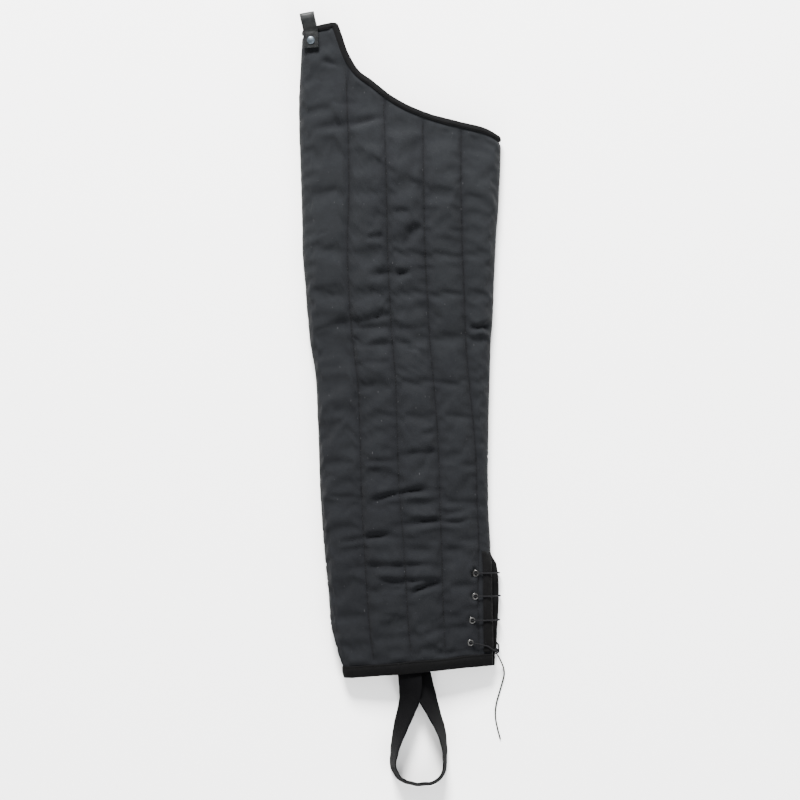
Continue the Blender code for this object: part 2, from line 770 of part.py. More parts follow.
def cutter_object(name, mesh, target):
    """A guide that the build leaves out, and the cut that it makes."""
    data = bpy.data.meshes.new(name)
    mesh.to_mesh(data)
    guide = bpy.data.objects.new(name, data)
    bpy.context.collection.objects.link(guide)
    guide.hide_render = True
    guide.display_type = "WIRE"
    guide.parent = target.parent
    cut = target.modifiers.new(name, "BOOLEAN")
    cut.object = guide
    cut.operation = "DIFFERENCE"
    cut.solver = "EXACT"


def make_eyelets(tree, finish, leg, holder):
    """Eight eyelets, four in each sheet, each in its own seat. Returns their places by sheet."""
    places = {FRONT: [], BACK: []}
    for sheet, side in ((FRONT, "front"), (BACK, "back")):
        for number, spec in enumerate(EYELETS, 1):
            y = vent_top() - spec.down * VENT_LENGTH
            x = inner_x(y, sheet) - spec.inset * EYELET_INSET
            face, lining, axis = wall_at(tree, x, y, sheet)
            depth = (face - lining).length
            at = standing(lining, axis)
            name = f"eyelet_{side}_{number}"
            ring = turned(eyelet_profile(0, depth, 0), at, 10)
            seat = turned(eyelet_profile(0, depth, SEAT_GAP), at, 10)
            mesh_object(name, ring, finish, holder, 40)
            cutter_object(f"seat_{side}_{number}", seat, leg)
            places[sheet].append((face, lining, axis))
    return places


def make_lace(places, tree, finish, holder):
    """The lace down the vent, its knot and its two ends."""
    radius = LACE_DIAMETER / 2
    over = radius + LACE_CLEARANCE

    def through(place, outwards):
        """Points up or down an eyelet, clear of its flanges at both ends."""
        face, lining, axis = place
        run = [lining - axis * over * 1.5, lining, face, face + axis * over * 1.1]
        return run if outwards else run[::-1]

    def on_front(x, y):
        """A point with the lace lying on the front sheet or its tape."""
        near = [drop_on(tree, x + aside, y, 0.2) for aside in (-radius * 1.6, 0, radius * 1.6)]
        return Vector((x, y, max(z for z in near if z) + over))

    def round_edges(y, back_y, eyelet_x, back_eyelet_x):
        """Points over the front edge, down past both edges and under the back sheet."""
        front_x, back_x = inner_x(y, FRONT), inner_x(back_y, BACK)
        clear = FIT_GAP + BINDING_THICK + over
        rim = front_x - BINDING_WIDTH * 0.1
        lying = [on_front(eyelet_x + (rim - eyelet_x) * share, y) for share in (0.3, 0.5, 0.7, 0.85, 1)]
        return lying + [
            Vector((front_x + clear + 0.0010, y, lying[-1].z - 0.0030)),
            Vector((back_x + clear + 0.0004, back_y, FOLD_LINE_HEIGHT)),
            Vector((back_x + clear * 0.8, back_y, radius * 3.2)),
            Vector((back_x - 0.0012, back_y, radius * 1.5)),
            Vector((back_x - BINDING_WIDTH * 0.9, back_y, radius * 1.4)),
            Vector((back_eyelet_x + EYELET_BORE, back_y, radius * 1.4)),
        ]

    fronts, backs = places[FRONT], places[BACK]
    first_inside = through(fronts[0], True)[0]
    tail = Vector((-0.012, 0.010, -0.0022))
    route = [first_inside + tail, first_inside + tail * 0.45]
    for number in range(len(fronts)):
        route += through(fronts[number], True)
        if number == len(fronts) - 1:
            break
        y, back_y = fronts[number][0].y, backs[number][0].y
        route += round_edges(y, back_y, fronts[number][0].x, backs[number][0].x)
        route += through(backs[number], False)
        below = through(fronts[number + 1], True)[0]
        route.append((route[-1] + below) / 2 + Vector((0, 0, -0.001)))
    last_y = fronts[-1][0].y - KNOT_LENGTH * 1.45
    edge_x = inner_x(last_y, FRONT)
    knot_x = edge_x + FIT_GAP + BINDING_THICK + KNOT_WIDTH / 2 + SEAT_GAP
    lower = drop_on(tree, inner_x(last_y, BACK) - 0.0022, last_y, FOLD_LINE_HEIGHT + 0.006)
    knot = Vector((knot_x, last_y, lower + KNOT_WIDTH / 2 + 0.0012))
    slope = (fronts[-1][0].y + last_y) / 2
    top = drop_on(tree, edge_x - 0.005, slope, 0.2) + over
    rim = drop_on(tree, edge_x - 0.0006, last_y + 0.001, 0.2) + over
    route += [Vector((edge_x - 0.005, slope, top)),
              Vector((edge_x - 0.0002, last_y + 0.0022, rim)),
              Vector((edge_x + 0.0030, last_y + 0.0010, rim - 0.0012)),
              knot + Vector((0.0004, 0.0004, KNOT_WIDTH / 2 + radius + SEAT_GAP))]
    cord_object("lace", route, finish, holder)
    ball = bmesh.new()
    bmesh.ops.create_uvsphere(ball, u_segments=12, v_segments=8, radius=1)
    for v in ball.verts:
        turn = math.atan2(v.co.y, v.co.x)
        v.co *= 0.94 + 0.06 * math.cos(3 * turn + 4 * v.co.z)
    size = Matrix.Diagonal((KNOT_WIDTH / 2, KNOT_LENGTH / 2, KNOT_WIDTH / 2, 1))
    bmesh.ops.transform(ball, matrix=Matrix.Translation(knot) @ size, verts=ball.verts)
    mesh_object("lace_knot", ball, finish, holder)
    back = backs[-1]
    hang = (KNOT_WIDTH / 2 + radius + SEAT_GAP / 3) * math.sqrt(0.5)
    start = knot + Vector((hang, KNOT_LENGTH * 0.1, -hang))
    edge = inner_x(back[0].y, BACK) + FIT_GAP + BINDING_THICK + over
    under = [
        start,
        start + Vector((0.0002, 0.0026, -0.0034)),
        Vector((edge + 0.0004, back[0].y - 0.0040, radius * 3.2)),
        Vector((edge - 0.0034, back[0].y - 0.0010, radius * 1.5)),
        Vector((edge - BINDING_WIDTH * 1.2, back[0].y, radius * 1.4)),
        Vector((back[0].x + EYELET_BORE, back[0].y, radius * 1.4)),
    ]
    inside = through(back, False)
    end = inside[-1] + Vector((-0.010, 0.004, 0.0016))
    cord_object("lace_under", under + inside + [inside[-1] * 0.55 + end * 0.45, end], finish, holder)
    lying = radius + SEAT_GAP / 3
    free = [Vector((knot.x + row.aside, knot.y + row.along, lying + (knot.z - lying) * row.up))
            for row in LACE_END_ROUTE]
    cord_object("lace_end", free, finish, holder)


def make_stirrup(tree, finish, holder):
    """The webbing loop: ends tucked flat inside the hem, turning on edge on its way down."""
    middle = STIRRUP_PLACE * HALF
    start_y = HEM_RISE * read(HEM_LINE, "across", "rise", 0.5)
    half_spread = STIRRUP_SPREAD / 2

    def seat(x, y, sheet):
        """The strap's middle height where it lies against a sheet's lining."""
        heights = []
        for side in np.linspace(-1, 1, 7):
            at = x + side * STIRRUP_WIDTH / 2
            found = drop_on(tree, at, y, SEAT_START, sheet == BACK)
            heights.append(found)
        if sheet == FRONT:
            return min(heights) - SEAT_GAP * 2 - STIRRUP_THICK / 2
        return max(heights) + SEAT_GAP * 2 + STIRRUP_THICK / 2

    centres, sides = [], []

    def add(x, y, z, tilt):
        centres.append(Vector((x, y, z)))
        half = STIRRUP_WIDTH / 2
        sides.append(Vector((half * math.cos(tilt), 0, half * math.sin(tilt))))

    tucks = [STIRRUP_TUCK, STIRRUP_TUCK * 0.66, BINDING_WIDTH * 1.2, BINDING_WIDTH * 0.5]
    left = middle + STRAP_ROUTE[0].side * half_spread
    right = middle + STRAP_ROUTE[-1].side * half_spread
    front_z = min(seat(left, start_y + tuck, FRONT) for tuck in tucks)
    back_z = max(seat(right, start_y + tuck, BACK) for tuck in tucks)
    past_tape = BINDING_WIDTH * 1.5
    for tuck in tucks:
        z = seat(left, start_y + tuck, FRONT) if tuck > past_tape else front_z
        add(left, start_y + tuck, z, 0)
    lowest = SEAT_GAP / 3
    for row in STRAP_ROUTE:
        first_half = row is STRAP_ROUTE[0] or len(centres) < len(tucks) + len(STRAP_ROUTE) // 2
        held = front_z if first_half else back_z
        tilt = math.radians(row.tilt)
        free = lowest + STIRRUP_WIDTH / 2 * math.sin(tilt) + STIRRUP_THICK / 2 * math.cos(tilt)
        z = max(free + held * (1 - float(smooth(row.drop / 0.36))), free)
        z = z if row.drop > 0 else held
        add(middle + row.side * half_spread, start_y - row.drop * STIRRUP_DROP, z, tilt)
    for tuck in reversed(tucks):
        z = seat(right, start_y + tuck, BACK) if tuck > past_tape else back_z
        add(right, start_y + tuck, z, 0)
    outward = []
    for i, side in enumerate(sides):
        before, after = centres[max(i - 1, 0)], centres[min(i + 1, len(centres) - 1)]
        along = (after - before).normalized()
        sweep = math.atan2(-along.x, -along.y) if i < len(sides) / 2 else math.atan2(along.x, along.y)
        level = math.hypot(side.x, side.y)
        turn = Vector((level * math.cos(sweep), -level * math.sin(sweep), side.z))
        outward.append(turn if i < len(sides) / 2 else -turn)
    # Past the bottom of the loop the route runs back up, so a side vector that points away from
    # the one before it is turned over, to keep the strap's upper edge on one side of the mesh.
    for i in range(1, len(outward)):
        if outward[i].dot(outward[i - 1]) < 0:
            outward[i] = -outward[i]
    mesh_object("stirrup_strap", strip(centres, outward, STIRRUP_THICK), finish, holder, 35)


def make_belt_loop(tree, leather, metal, leg, holder):
    """The folded leather loop on the outer corner, and the rivet through its laps and the wall."""
    x = outer_x(LEG_LENGTH * 0.97) + LOOP_PLACE
    share = LOOP_PLACE / (inner_x(LEG_LENGTH, FRONT) - outer_x(LEG_LENGTH))
    edge_y = float(edge_point(share, FRONT, "top")[1])
    turn = Matrix.Rotation(LOOP_TURN, 4, "Z")
    heights = []
    for across in np.linspace(-0.5, 0.5, 15):
        for along in np.linspace(-LOOP_LAP, LOOP_REACH, 25):
            spot = turn @ Vector((across * LOOP_WIDTH, along, 0))
            heights.append(drop_on(tree, x + spot.x, edge_y + spot.y, 0.2) or 0)
    base = max(heights) + SEAT_GAP * 2 + LOOP_THICK / 2
    lap = LOOP_THICK + SEAT_GAP
    rise = (LOOP_OPENING + LOOP_THICK) / 2
    bend = rise
    route = [(-LOOP_LAP, 0.0), (-LOOP_LAP * 0.5, 0.0), (-0.001, 0.0), (0.004, -0.0002)]
    for n in range(9):
        angle = -math.pi / 2 + math.pi * n / 8
        route.append((LOOP_REACH - bend + bend * math.cos(angle), rise + bend * math.sin(angle)))
    route += [(0.006, 2 * rise * 0.93), (0.002, 2 * rise * 0.62 + lap * 0.3), (-0.0035, lap)]
    route += [(-LOOP_LAP * 0.5, lap), (-LOOP_LAP, lap)]
    place = Matrix.Translation((x, edge_y, base)) @ turn
    centres = [place @ Vector((0, y, z)) for y, z in route]
    side = place.to_3x3() @ Vector((LOOP_WIDTH / 2, 0, 0))
    loop = mesh_object("belt_loop", strip(centres, [side] * len(centres), LOOP_THICK),
                       leather, holder, 35)
    spot = place @ Vector((0, -RIVET_FROM_EDGE, 0))
    face, lining, _ = wall_at(tree, spot.x, spot.y, FRONT)
    top = base + lap + LOOP_THICK / 2
    bottom = lining.z
    shank, sunk = RIVET_SHANK, FLANGE_SINK
    profile = [(0, bottom + sunk - FLANGE_THICK), (RIVET_BURR, bottom + sunk - FLANGE_THICK),
               (RIVET_BURR, bottom + sunk), (shank, bottom + sunk),
               (shank, top + SEAT_GAP), (RIVET_HEAD, top + SEAT_GAP),
               (RIVET_HEAD, top + SEAT_GAP + RIVET_DOME * 0.3),
               (RIVET_HEAD * 0.78, top + SEAT_GAP + RIVET_DOME * 0.78),
               (RIVET_HEAD * 0.4, top + SEAT_GAP + RIVET_DOME),
               (0, top + SEAT_GAP + RIVET_DOME)]
    upright = Matrix.Translation((spot.x, spot.y, 0))
    mesh_object("loop_rivet", turned(profile, upright, 14), metal, holder, 40)
    burr, hole = RIVET_BURR + SEAT_GAP, shank + SEAT_GAP
    wall_cut = [(0, bottom - FLANGE_THICK * 3), (burr, bottom - FLANGE_THICK * 3),
                (burr, bottom + sunk + SEAT_GAP), (hole, bottom + sunk + SEAT_GAP),
                (hole, top + FLANGE_THICK), (0, top + FLANGE_THICK)]
    cutter_object("rivet_hole_in_wall", turned(wall_cut, upright, 14), leg)
    leather_cut = [(0, face.z - FLANGE_THICK), (hole, face.z - FLANGE_THICK),
                   (hole, top + FLANGE_THICK), (0, top + FLANGE_THICK)]
    cutter_object("rivet_hole_in_leather", turned(leather_cut, upright, 14), loop)


def stand_on_origin(holder):
    """Moves the whole legging so that its box, without the free lace end, is centred on the origin."""
    bpy.context.view_layer.update()
    shown = bpy.context.evaluated_depsgraph_get()
    low, high = Vector((9, 9, 9)), Vector((-9, -9, -9))
    for piece in holder.children:
        if piece.hide_render or piece.name == "lace_end":
            continue
        found = piece.evaluated_get(shown)
        data = found.to_mesh()
        for v in data.vertices:
            at = found.matrix_world @ v.co
            low = Vector(map(min, low, at))
            high = Vector(map(max, high, at))
        found.to_mesh_clear()
    holder.location = (-(low.x + high.x) / 2, -(low.y + high.y) / 2, -low.z)


def main():
    for piece in list(bpy.data.objects):
        bpy.data.objects.remove(piece)
    holder = bpy.data.objects.new("legging", None)
    bpy.context.collection.objects.link(holder)
    cloth = material("quilted_cotton", (0.030, 0.031, 0.035), 0.92)
    tape = material("binding_tape", (0.016, 0.016, 0.017), 0.85)
    webbing = material("webbing", (0.006, 0.006, 0.007), 0.80)
    leather = material("leather", (0.045, 0.048, 0.050), 0.50)
    steel = material("blued_steel", (0.13, 0.15, 0.18), 0.35, 1.0)
    nickel = material("nickel", (0.52, 0.51, 0.50), 0.30, 1.0)
    cord = material("lace_cord", (0.010, 0.010, 0.011), 0.70)

    outer, lining, vent_row = leg_grids()
    rows, columns = outer.shape[:2]
    leg_shape = leg_mesh(outer, lining, vent_row)
    closed = vent_row + 1
    grids = [outer, normals(outer, closed), lining, normals(lining, closed)]
    top = edge_binding(*grids, (1, 0), range(columns - 1), True)
    hem = edge_binding(*grids, (rows - 2, rows - 1), range(columns), False)
    stop = (FIT_GAP + SEAT_GAP) / (VENT_LENGTH / ROWS_IN_VENT)
    vent_grids = [drawn_up(grid, rows - 2, stop) for grid in grids]
    vent_rows = range(vent_row + 2, rows - 1)
    front_tape = vent_binding(*vent_grids, vent_rows, [columns - 3, columns - 2, columns - 1])
    back_tape = vent_binding(*vent_grids, vent_rows, [2, 1, 0])
    bound = tree_of(leg_shape, top, hem, front_tape, back_tape)
    wall = tree_of(leg_shape)

    leg = mesh_object("quilted_leg", leg_shape, cloth, holder)
    mesh_object("top_binding", top, tape, holder)
    mesh_object("hem_binding", hem, tape, holder)
    mesh_object("vent_binding_front", front_tape, tape, holder)
    mesh_object("vent_binding_back", back_tape, tape, holder)
    places = make_eyelets(wall, nickel, leg, holder)
    make_lace(places, bound, cord, holder)
    make_stirrup(bound, webbing, holder)
    make_belt_loop(bound, leather, steel, leg, holder)
    stand_on_origin(holder)


main()
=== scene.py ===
"""Dresses one padded legging over its CAD frame: quilted shell, tapes, lacing, strap and loop.

Every piece is a surface worked out with numpy from named sizes, and stands where the frame says.
The legging lies on its back, thigh towards +Y, laced side towards +X, and +Z up. Metres.
"""

import math

import bpy
import numpy as np
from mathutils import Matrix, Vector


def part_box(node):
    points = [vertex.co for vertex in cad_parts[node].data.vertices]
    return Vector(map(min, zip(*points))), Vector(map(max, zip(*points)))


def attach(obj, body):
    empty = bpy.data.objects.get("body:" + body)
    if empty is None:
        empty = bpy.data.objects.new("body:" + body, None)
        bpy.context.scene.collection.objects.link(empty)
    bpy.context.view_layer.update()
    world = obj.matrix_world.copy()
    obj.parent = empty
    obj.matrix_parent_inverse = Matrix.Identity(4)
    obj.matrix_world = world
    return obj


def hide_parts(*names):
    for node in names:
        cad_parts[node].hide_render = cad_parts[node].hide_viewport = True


bl_info = {
    "name": "Padded legging",
    "version": (1, 0, 0),
    "blender": (4, 5, 0),
    "location": "3D View > Sidebar > Legging",
    "description": "Dresses a padded legging over its CAD frame, piece by piece",
    "category": "Object",
}

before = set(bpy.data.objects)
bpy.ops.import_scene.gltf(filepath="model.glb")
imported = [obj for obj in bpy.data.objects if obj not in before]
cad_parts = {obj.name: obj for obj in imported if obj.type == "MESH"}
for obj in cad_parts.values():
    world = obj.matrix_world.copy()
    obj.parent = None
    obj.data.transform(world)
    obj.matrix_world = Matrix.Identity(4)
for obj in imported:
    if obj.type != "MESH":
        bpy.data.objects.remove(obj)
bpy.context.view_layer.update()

# Sizes that the CAD model is drawn from
LENGTH = 0.911
HALF = 0.140
TOP_DROP = 0.158
HEM_RISE = 0.018
WALL = 0.0085
STITCH_WALL = 0.0036
EDGE_WALL = 0.0043
STITCH_DIP = 0.0028
SIDE_HEIGHT = 0.024
SIDE_ROUND = 0.014
FOLD_HEIGHT = 0.011
CROWN = 0.028
MOUTH_EASE = 0.110
CREASE_DEPTH = 0.0032
CREASE_WIDTH = 0.0095
TAPE_WIDTH = 0.011
TOP_TAPE_WIDTH = 0.0064
HEM_TAPE_WIDTH = 0.0150
HEM_ROLL = 0.0022
TAPE_THICK = 0.0015
TAPE_GAP = 0.0006
EDGE_DIP = TAPE_THICK + TAPE_GAP + 0.0003
VENT_LENGTH = 0.165
VENT_TOP = HEM_RISE + VENT_LENGTH
VENT_EASE = 0.025
VENT_SHOW = 0.0088
VENT_LIFT = 0.0034
VENT_LIFT_REACH = 0.045
LACE_RADIUS = 0.0010
EYELET_BORE = 0.0022
EYELET_RADIUS = 0.0047
STRAP_HALF = 0.0165
STRAP_THICK = 0.0022
LOOP_WIDTH = 0.0205
LOOP_REACH = 0.0205
LOOP_LAP = 0.0275
LOOP_THICK = 0.0021
LOOP_OPENING = 0.0066
LOOP_TURN = math.radians(3.5)
LOOP_LEAN = math.radians(7.0)
RIVET_HEAD = 0.0055

# How far stitch lines, grooves, puckers and the bound edges reach into the padding
SEAM_REACH, SEAM_POWER = 0.0062, 1.35
GROOVE_REACH = 0.0015
PUCKER_REACH = 0.0085
TOP_EASE, HEM_EASE = 0.006, 0.005
HELD_REACH = 0.0030
MOST_SWELL = 0.0028
# Size and spacing of a tape's rucks, then of its uneven edge, each as a fine and a broad wave
TAPE_WAVES = [(0.00022, 0.0050), (0.00028, 0.021), (0.0006, 0.045), (0.0004, 0.014)]
# The laid cord, the knot, and the stitches along the tapes
CORD_SIDES, CORD_STRANDS, CORD_LAY = 15, 3, 0.0062
CORD_STEP = 0.0006
KNOT_SIZE = 0.0030
TAPE_STITCH, TAPE_PITCH, TAPE_THREAD = 0.0024, 0.0032, 0.00026
TAPE_SEAM, TAPE_SEAM_SINK = 0.20, 0.00045
# Nothing of a cord or a tape goes lower than this
LOWEST = 0.0001
# The camera stands this high over this place, and sees this width of the floor
CAMERA_HEIGHT, VIEW_MIDDLE, VIEW_WIDTH, SENSOR = 5.0, 0.3864, 1.12, 36.0
FLOOR_REACH, FLOOR_DROP = 6.0, 0.0004

LEG_LOW, LEG_HIGH = (np.array(corner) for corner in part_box("quilted_leg"))
SHIFT = np.array([LEG_LOW[0] + HALF, LEG_HIGH[1] - LENGTH, LEG_LOW[2]])

# Height, outer side, inner side and crown of the leg's sections, as shares
SECTIONS = np.array([
    (0.000, -0.570, 0.930, 0.34), (0.034, -0.630, 0.930, 0.42), (0.071, -0.670, 0.925, 0.50),
    (0.135, -0.705, 0.915, 0.62), (0.200, -0.745, 0.910, 0.68), (0.270, -0.780, 0.890, 0.66),
    (0.393, -0.810, 0.890, 0.72), (0.455, -0.830, 0.900, 0.70), (0.516, -0.890, 0.915, 0.66),
    (0.578, -0.930, 0.940, 0.80), (0.639, -0.955, 0.955, 0.92), (0.731, -0.970, 0.990, 1.00),
    (0.826, -0.995, 1.015, 0.88), (0.885, -1.000, 1.015, 0.66), (0.949, -0.980, 1.015, 0.46),
    (1.000, -0.965, 1.015, 0.30),
])
# Place across and drop of the bound top edge, and place across and rise of the hem
TOP_EDGE = np.array([
    (0.000, 0.062), (0.080, 0.026), (0.130, 0.008), (0.170, 0.000), (0.190, 0.080),
    (0.220, 0.221), (0.270, 0.380), (0.365, 0.522), (0.470, 0.664), (0.640, 0.805),
    (0.790, 0.876), (0.940, 0.947), (1.000, 1.000),
])
HEM_LINE = np.array([
    (0.00, 0.00), (0.15, 0.12), (0.35, 0.30), (0.60, 0.57), (0.80, 0.82), (1.00, 1.00),
])
# Height of a station as a share of the length, then the place across of the lane beside the
# outer fold and of the four lengthwise stitch lines
STITCHES = np.array([
    (0.00, 0.040, 0.235, 0.480, 0.705, 0.922), (0.12, 0.040, 0.235, 0.480, 0.705, 0.922),
    (0.20, 0.040, 0.239, 0.478, 0.708, 0.934), (0.33, 0.040, 0.245, 0.467, 0.711, 0.932),
    (0.50, 0.045, 0.236, 0.456, 0.667, 0.868), (0.65, 0.050, 0.230, 0.440, 0.636, 0.832),
    (0.75, 0.050, 0.240, 0.430, 0.620, 0.810), (1.00, 0.050, 0.240, 0.430, 0.620, 0.810),
])
# How far the vent's back edge shows past the front one, down from the vent's top
VENT_EDGE = np.array([(0.00, 0.00), (0.20, 0.85), (0.45, 1.00), (0.75, 0.60), (1.00, 0.40)])
# Main creases of the front: two ends as shares of the half width and the length, then the bow
# of the middle in millimetres, the depth and the width
CREASES = [
    (-0.891, 0.839, -0.080, 0.856, 0, 1.2, 1.0), (-0.800, 0.945, -0.570, 0.937, 1, 0.8, 0.8),
    (-0.730, 0.876, -0.360, 0.882, 0, 0.7, 0.9), (0.230, 0.831, 0.040, 0.751, 0, 0.6, 1.9),
    (0.090, 0.673, 0.250, 0.692, 0, 0.5, 1.5), (-0.060, 0.710, 0.110, 0.713, 0, 0.4, 0.8),
    (-0.330, 0.673, -0.130, 0.676, 0, 0.4, 0.8), (-0.250, 0.616, 0.120, 0.616, 0, 0.6, 1.1),
    (-0.780, 0.538, 0.020, 0.552, -2, 1.0, 1.3), (0.680, 0.534, 0.920, 0.537, 0, 1.3, 0.9),
    (-0.700, 0.530, 0.330, 0.536, -2, 0.8, 1.1), (-0.330, 0.617, -0.050, 0.615, 0, 0.6, 0.8),
    (-0.040, 0.612, 0.130, 0.622, 0, 0.9, 1.0), (-0.360, 0.670, -0.130, 0.674, 0, 0.5, 0.8),
    (0.170, 0.700, 0.040, 0.655, 0, 0.7, 1.6), (0.100, 0.575, 0.450, 0.545, -2, 0.4, 1.0),
    (-0.700, 0.583, -0.550, 0.584, 0, 0.4, 0.8),
    (-0.340, 0.508, -0.080, 0.510, 0, 0.5, 0.9), (-0.420, 0.482, -0.050, 0.484, 1, 0.6, 0.9),
    (-0.430, 0.444, -0.230, 0.445, 0, 0.5, 0.9), (-0.330, 0.269, 0.390, 0.289, -2, 1.4, 0.9),
    (-0.730, 0.277, -0.390, 0.278, 0, 0.5, 0.7), (0.050, 0.244, 0.750, 0.260, 6, 0.8, 0.9),
    (-0.090, 0.232, 0.730, 0.241, 0, 1.3, 0.9), (-0.650, 0.201, -0.010, 0.221, -3, 1.0, 0.9),
    (-0.600, 0.195, -0.300, 0.200, 0, 0.4, 0.7), (-0.640, 0.163, 0.430, 0.177, 0, 1.0, 1.0),
    (-0.330, 0.154, 0.430, 0.152, 4, 0.8, 0.8), (0.100, 0.128, 0.480, 0.148, -2, 1.3, 0.9),
    (0.220, 0.062, 0.520, 0.073, -4, 0.8, 0.9), (0.330, 0.037, 0.730, 0.040, 0, 0.6, 0.8),
    (-0.420, 0.330, 0.030, 0.333, 1, 0.6, 0.9), (0.060, 0.343, 0.390, 0.347, 0, 0.6, 0.9),
    (0.210, 0.372, 0.360, 0.373, 0, 0.5, 0.7),
]
# Centre lines of the cords, in millimetres from the hem's lowest point and the leg's middle line
LACE_ROUTE = [
    (94.9, 155.3, 19.7), (98.5, 152.2, 20.3), (102.2, 149.2, 21.0), (105.9, 146.2, 21.3),
    (106.5, 145.3, 25.1), (105.9, 145.2, 29.9), (110.3, 145.2, 31.1), (114.8, 145.2, 29.8),
    (119.4, 145.2, 28.7), (124.0, 145.2, 27.5), (128.5, 145.2, 25.8), (132.6, 145.2, 23.5),
    (135.7, 145.2, 19.8), (138.2, 145.2, 15.7), (140.0, 145.2, 11.2), (140.1, 145.2, 6.5),
    (137.9, 145.2, 2.4), (133.2, 145.2, 1.3), (128.4, 145.2, 1.4), (123.6, 145.2, 1.3),
    (118.9, 145.2, 1.1), (114.5, 145.2, 2.7), (114.6, 145.3, 7.2), (115.7, 145.6, 11.9),
    (114.9, 142.3, 14.2), (113.3, 137.8, 14.9), (111.6, 133.3, 15.5), (110.0, 128.9, 16.4),
    (108.4, 124.5, 17.5), (106.8, 120.1, 18.6), (105.3, 115.8, 20.0), (104.7, 112.9, 23.0),
    (105.9, 113.0, 27.6), (109.1, 113.0, 30.4), (113.8, 113.0, 30.0), (118.3, 113.0, 28.6),
    (123.0, 113.0, 27.8), (127.6, 113.0, 26.3), (131.9, 113.0, 24.3), (135.4, 113.0, 21.0),
    (138.3, 113.0, 17.1), (140.6, 113.0, 12.9), (141.5, 113.0, 8.3), (140.4, 113.0, 3.6),
    (136.3, 113.0, 1.6), (131.5, 113.0, 1.3), (126.7, 113.0, 1.4), (121.9, 113.0, 1.1),
    (117.2, 113.0, 1.3), (114.4, 113.0, 5.0), (115.6, 113.1, 9.6), (115.7, 111.6, 13.3),
    (113.6, 107.4, 14.1), (111.5, 103.1, 14.6), (109.3, 98.9, 15.1), (107.2, 94.6, 16.0),
    (105.1, 90.4, 17.0), (102.9, 86.3, 18.0), (100.9, 82.1, 19.2), (100.1, 79.5, 22.3),
    (101.2, 79.6, 27.0), (102.5, 79.5, 31.4), (107.2, 79.5, 30.3), (111.9, 79.5, 29.7),
    (116.6, 79.5, 29.5), (121.3, 79.5, 28.2), (125.9, 79.5, 27.0), (130.4, 79.5, 25.4),
    (134.4, 79.5, 22.7), (137.1, 79.5, 18.8), (139.1, 79.5, 14.4), (140.3, 79.5, 9.8),
    (139.9, 79.5, 5.0), (136.6, 79.5, 1.9), (131.9, 79.5, 1.3), (127.1, 79.5, 1.4),
    (122.3, 79.5, 1.3), (117.5, 79.5, 1.1), (112.7, 79.5, 1.1), (108.8, 79.5, 3.4),
    (108.2, 79.6, 8.1), (107.7, 79.8, 12.9), (106.2, 75.9, 14.5), (104.7, 71.3, 14.9),
    (103.2, 66.8, 15.3), (101.7, 62.3, 16.0), (100.2, 57.8, 16.9), (98.6, 53.4, 17.9),
    (97.3, 49.1, 19.6), (98.1, 48.8, 24.1), (99.2, 48.7, 28.7), (101.3, 48.4, 32.1),
    (106.0, 47.5, 31.5), (110.6, 46.6, 30.5), (115.1, 45.5, 29.4), (119.6, 44.4, 28.2),
    (124.1, 43.0, 27.0), (127.9, 40.4, 26.1), (131.7, 37.8, 24.7), (136.2, 36.8, 24.6),
]
UNDER_ROUTE = [
    (138.9, 37.2, 16.9), (139.2, 40.0, 13.1), (139.4, 41.9, 8.9), (139.2, 43.8, 4.6),
    (136.9, 46.5, 1.9), (132.7, 48.3, 1.3), (128.0, 48.6, 1.4), (123.3, 48.8, 1.4),
    (118.6, 48.8, 1.3), (113.9, 48.8, 1.2), (109.3, 48.7, 1.2), (104.7, 48.7, 1.9),
    (103.9, 48.7, 6.5), (103.3, 48.7, 11.1), (101.5, 49.2, 14.6), (97.2, 51.0, 15.0),
    (92.9, 52.7, 15.7),
]
FREE_ROUTE = [
    (136.6, 31.7, 19.4), (139.1, 27.9, 17.5), (140.8, 24.7, 14.3), (142.2, 21.7, 10.7),
    (143.5, 18.8, 7.0), (144.9, 15.4, 3.9), (146.3, 11.3, 1.7), (147.1, 6.5, 1.1),
    (146.9, 1.7, 1.1), (146.0, -3.1, 1.1), (144.7, -7.8, 1.1), (143.4, -12.5, 1.1),
    (142.0, -17.2, 1.1), (140.6, -21.9, 1.1), (139.3, -26.6, 1.1), (137.9, -31.2, 1.1),
    (136.6, -35.9, 1.1), (135.7, -40.7, 1.1), (135.0, -45.6, 1.1), (134.7, -50.4, 1.1),
    (134.8, -55.3, 1.1), (135.2, -60.2, 1.1), (136.0, -65.0, 1.1), (137.0, -69.7, 1.1),
    (138.1, -74.5, 1.1), (139.3, -79.2, 1.1), (140.6, -83.9, 1.1), (141.8, -88.6, 1.1),
]
KNOT_PLACE = (136.03, 36.36, 20.0)
# The strap from one tucked end to the other: place aside as a share of half its spread, drop as
# a share of STRAP_DROP, and its tilt in degrees from flat to on edge
STRAP = [
    (-0.37, -0.20, 0), (-0.37, -0.10, 0), (-0.37, 0.00, 0), (-0.35, 0.06, 6), (-0.34, 0.144, 18),
    (-0.37, 0.22, 28), (-0.44, 0.30, 37), (-0.56, 0.396, 45), (-0.74, 0.505, 54),
    (-0.90, 0.613, 64), (-1.00, 0.72, 71), (-1.03, 0.81, 75), (-0.91, 0.90, 76),
    (-0.63, 0.96, 77), (-0.29, 0.99, 77), (0.06, 1.00, 77), (0.42, 0.99, 77), (0.76, 0.96, 78),
    (0.97, 0.90, 80), (1.06, 0.81, 81), (1.05, 0.72, 79), (0.97, 0.613, 74), (0.83, 0.505, 66),
    (0.65, 0.396, 58), (0.47, 0.30, 48), (0.33, 0.22, 37), (0.18, 0.144, 25), (0.05, 0.06, 10),
    (-0.04, 0.00, 0), (-0.04, -0.10, 0), (-0.04, -0.20, 0),
]
STRAP_MIDDLE, STRAP_TOP, STRAP_DROP, STRAP_SPREAD = 0.0276, 0.0082, 0.1585, 0.035
STRAP_FRONT_Z, STRAP_BACK_Z = 0.0234, 0.0110

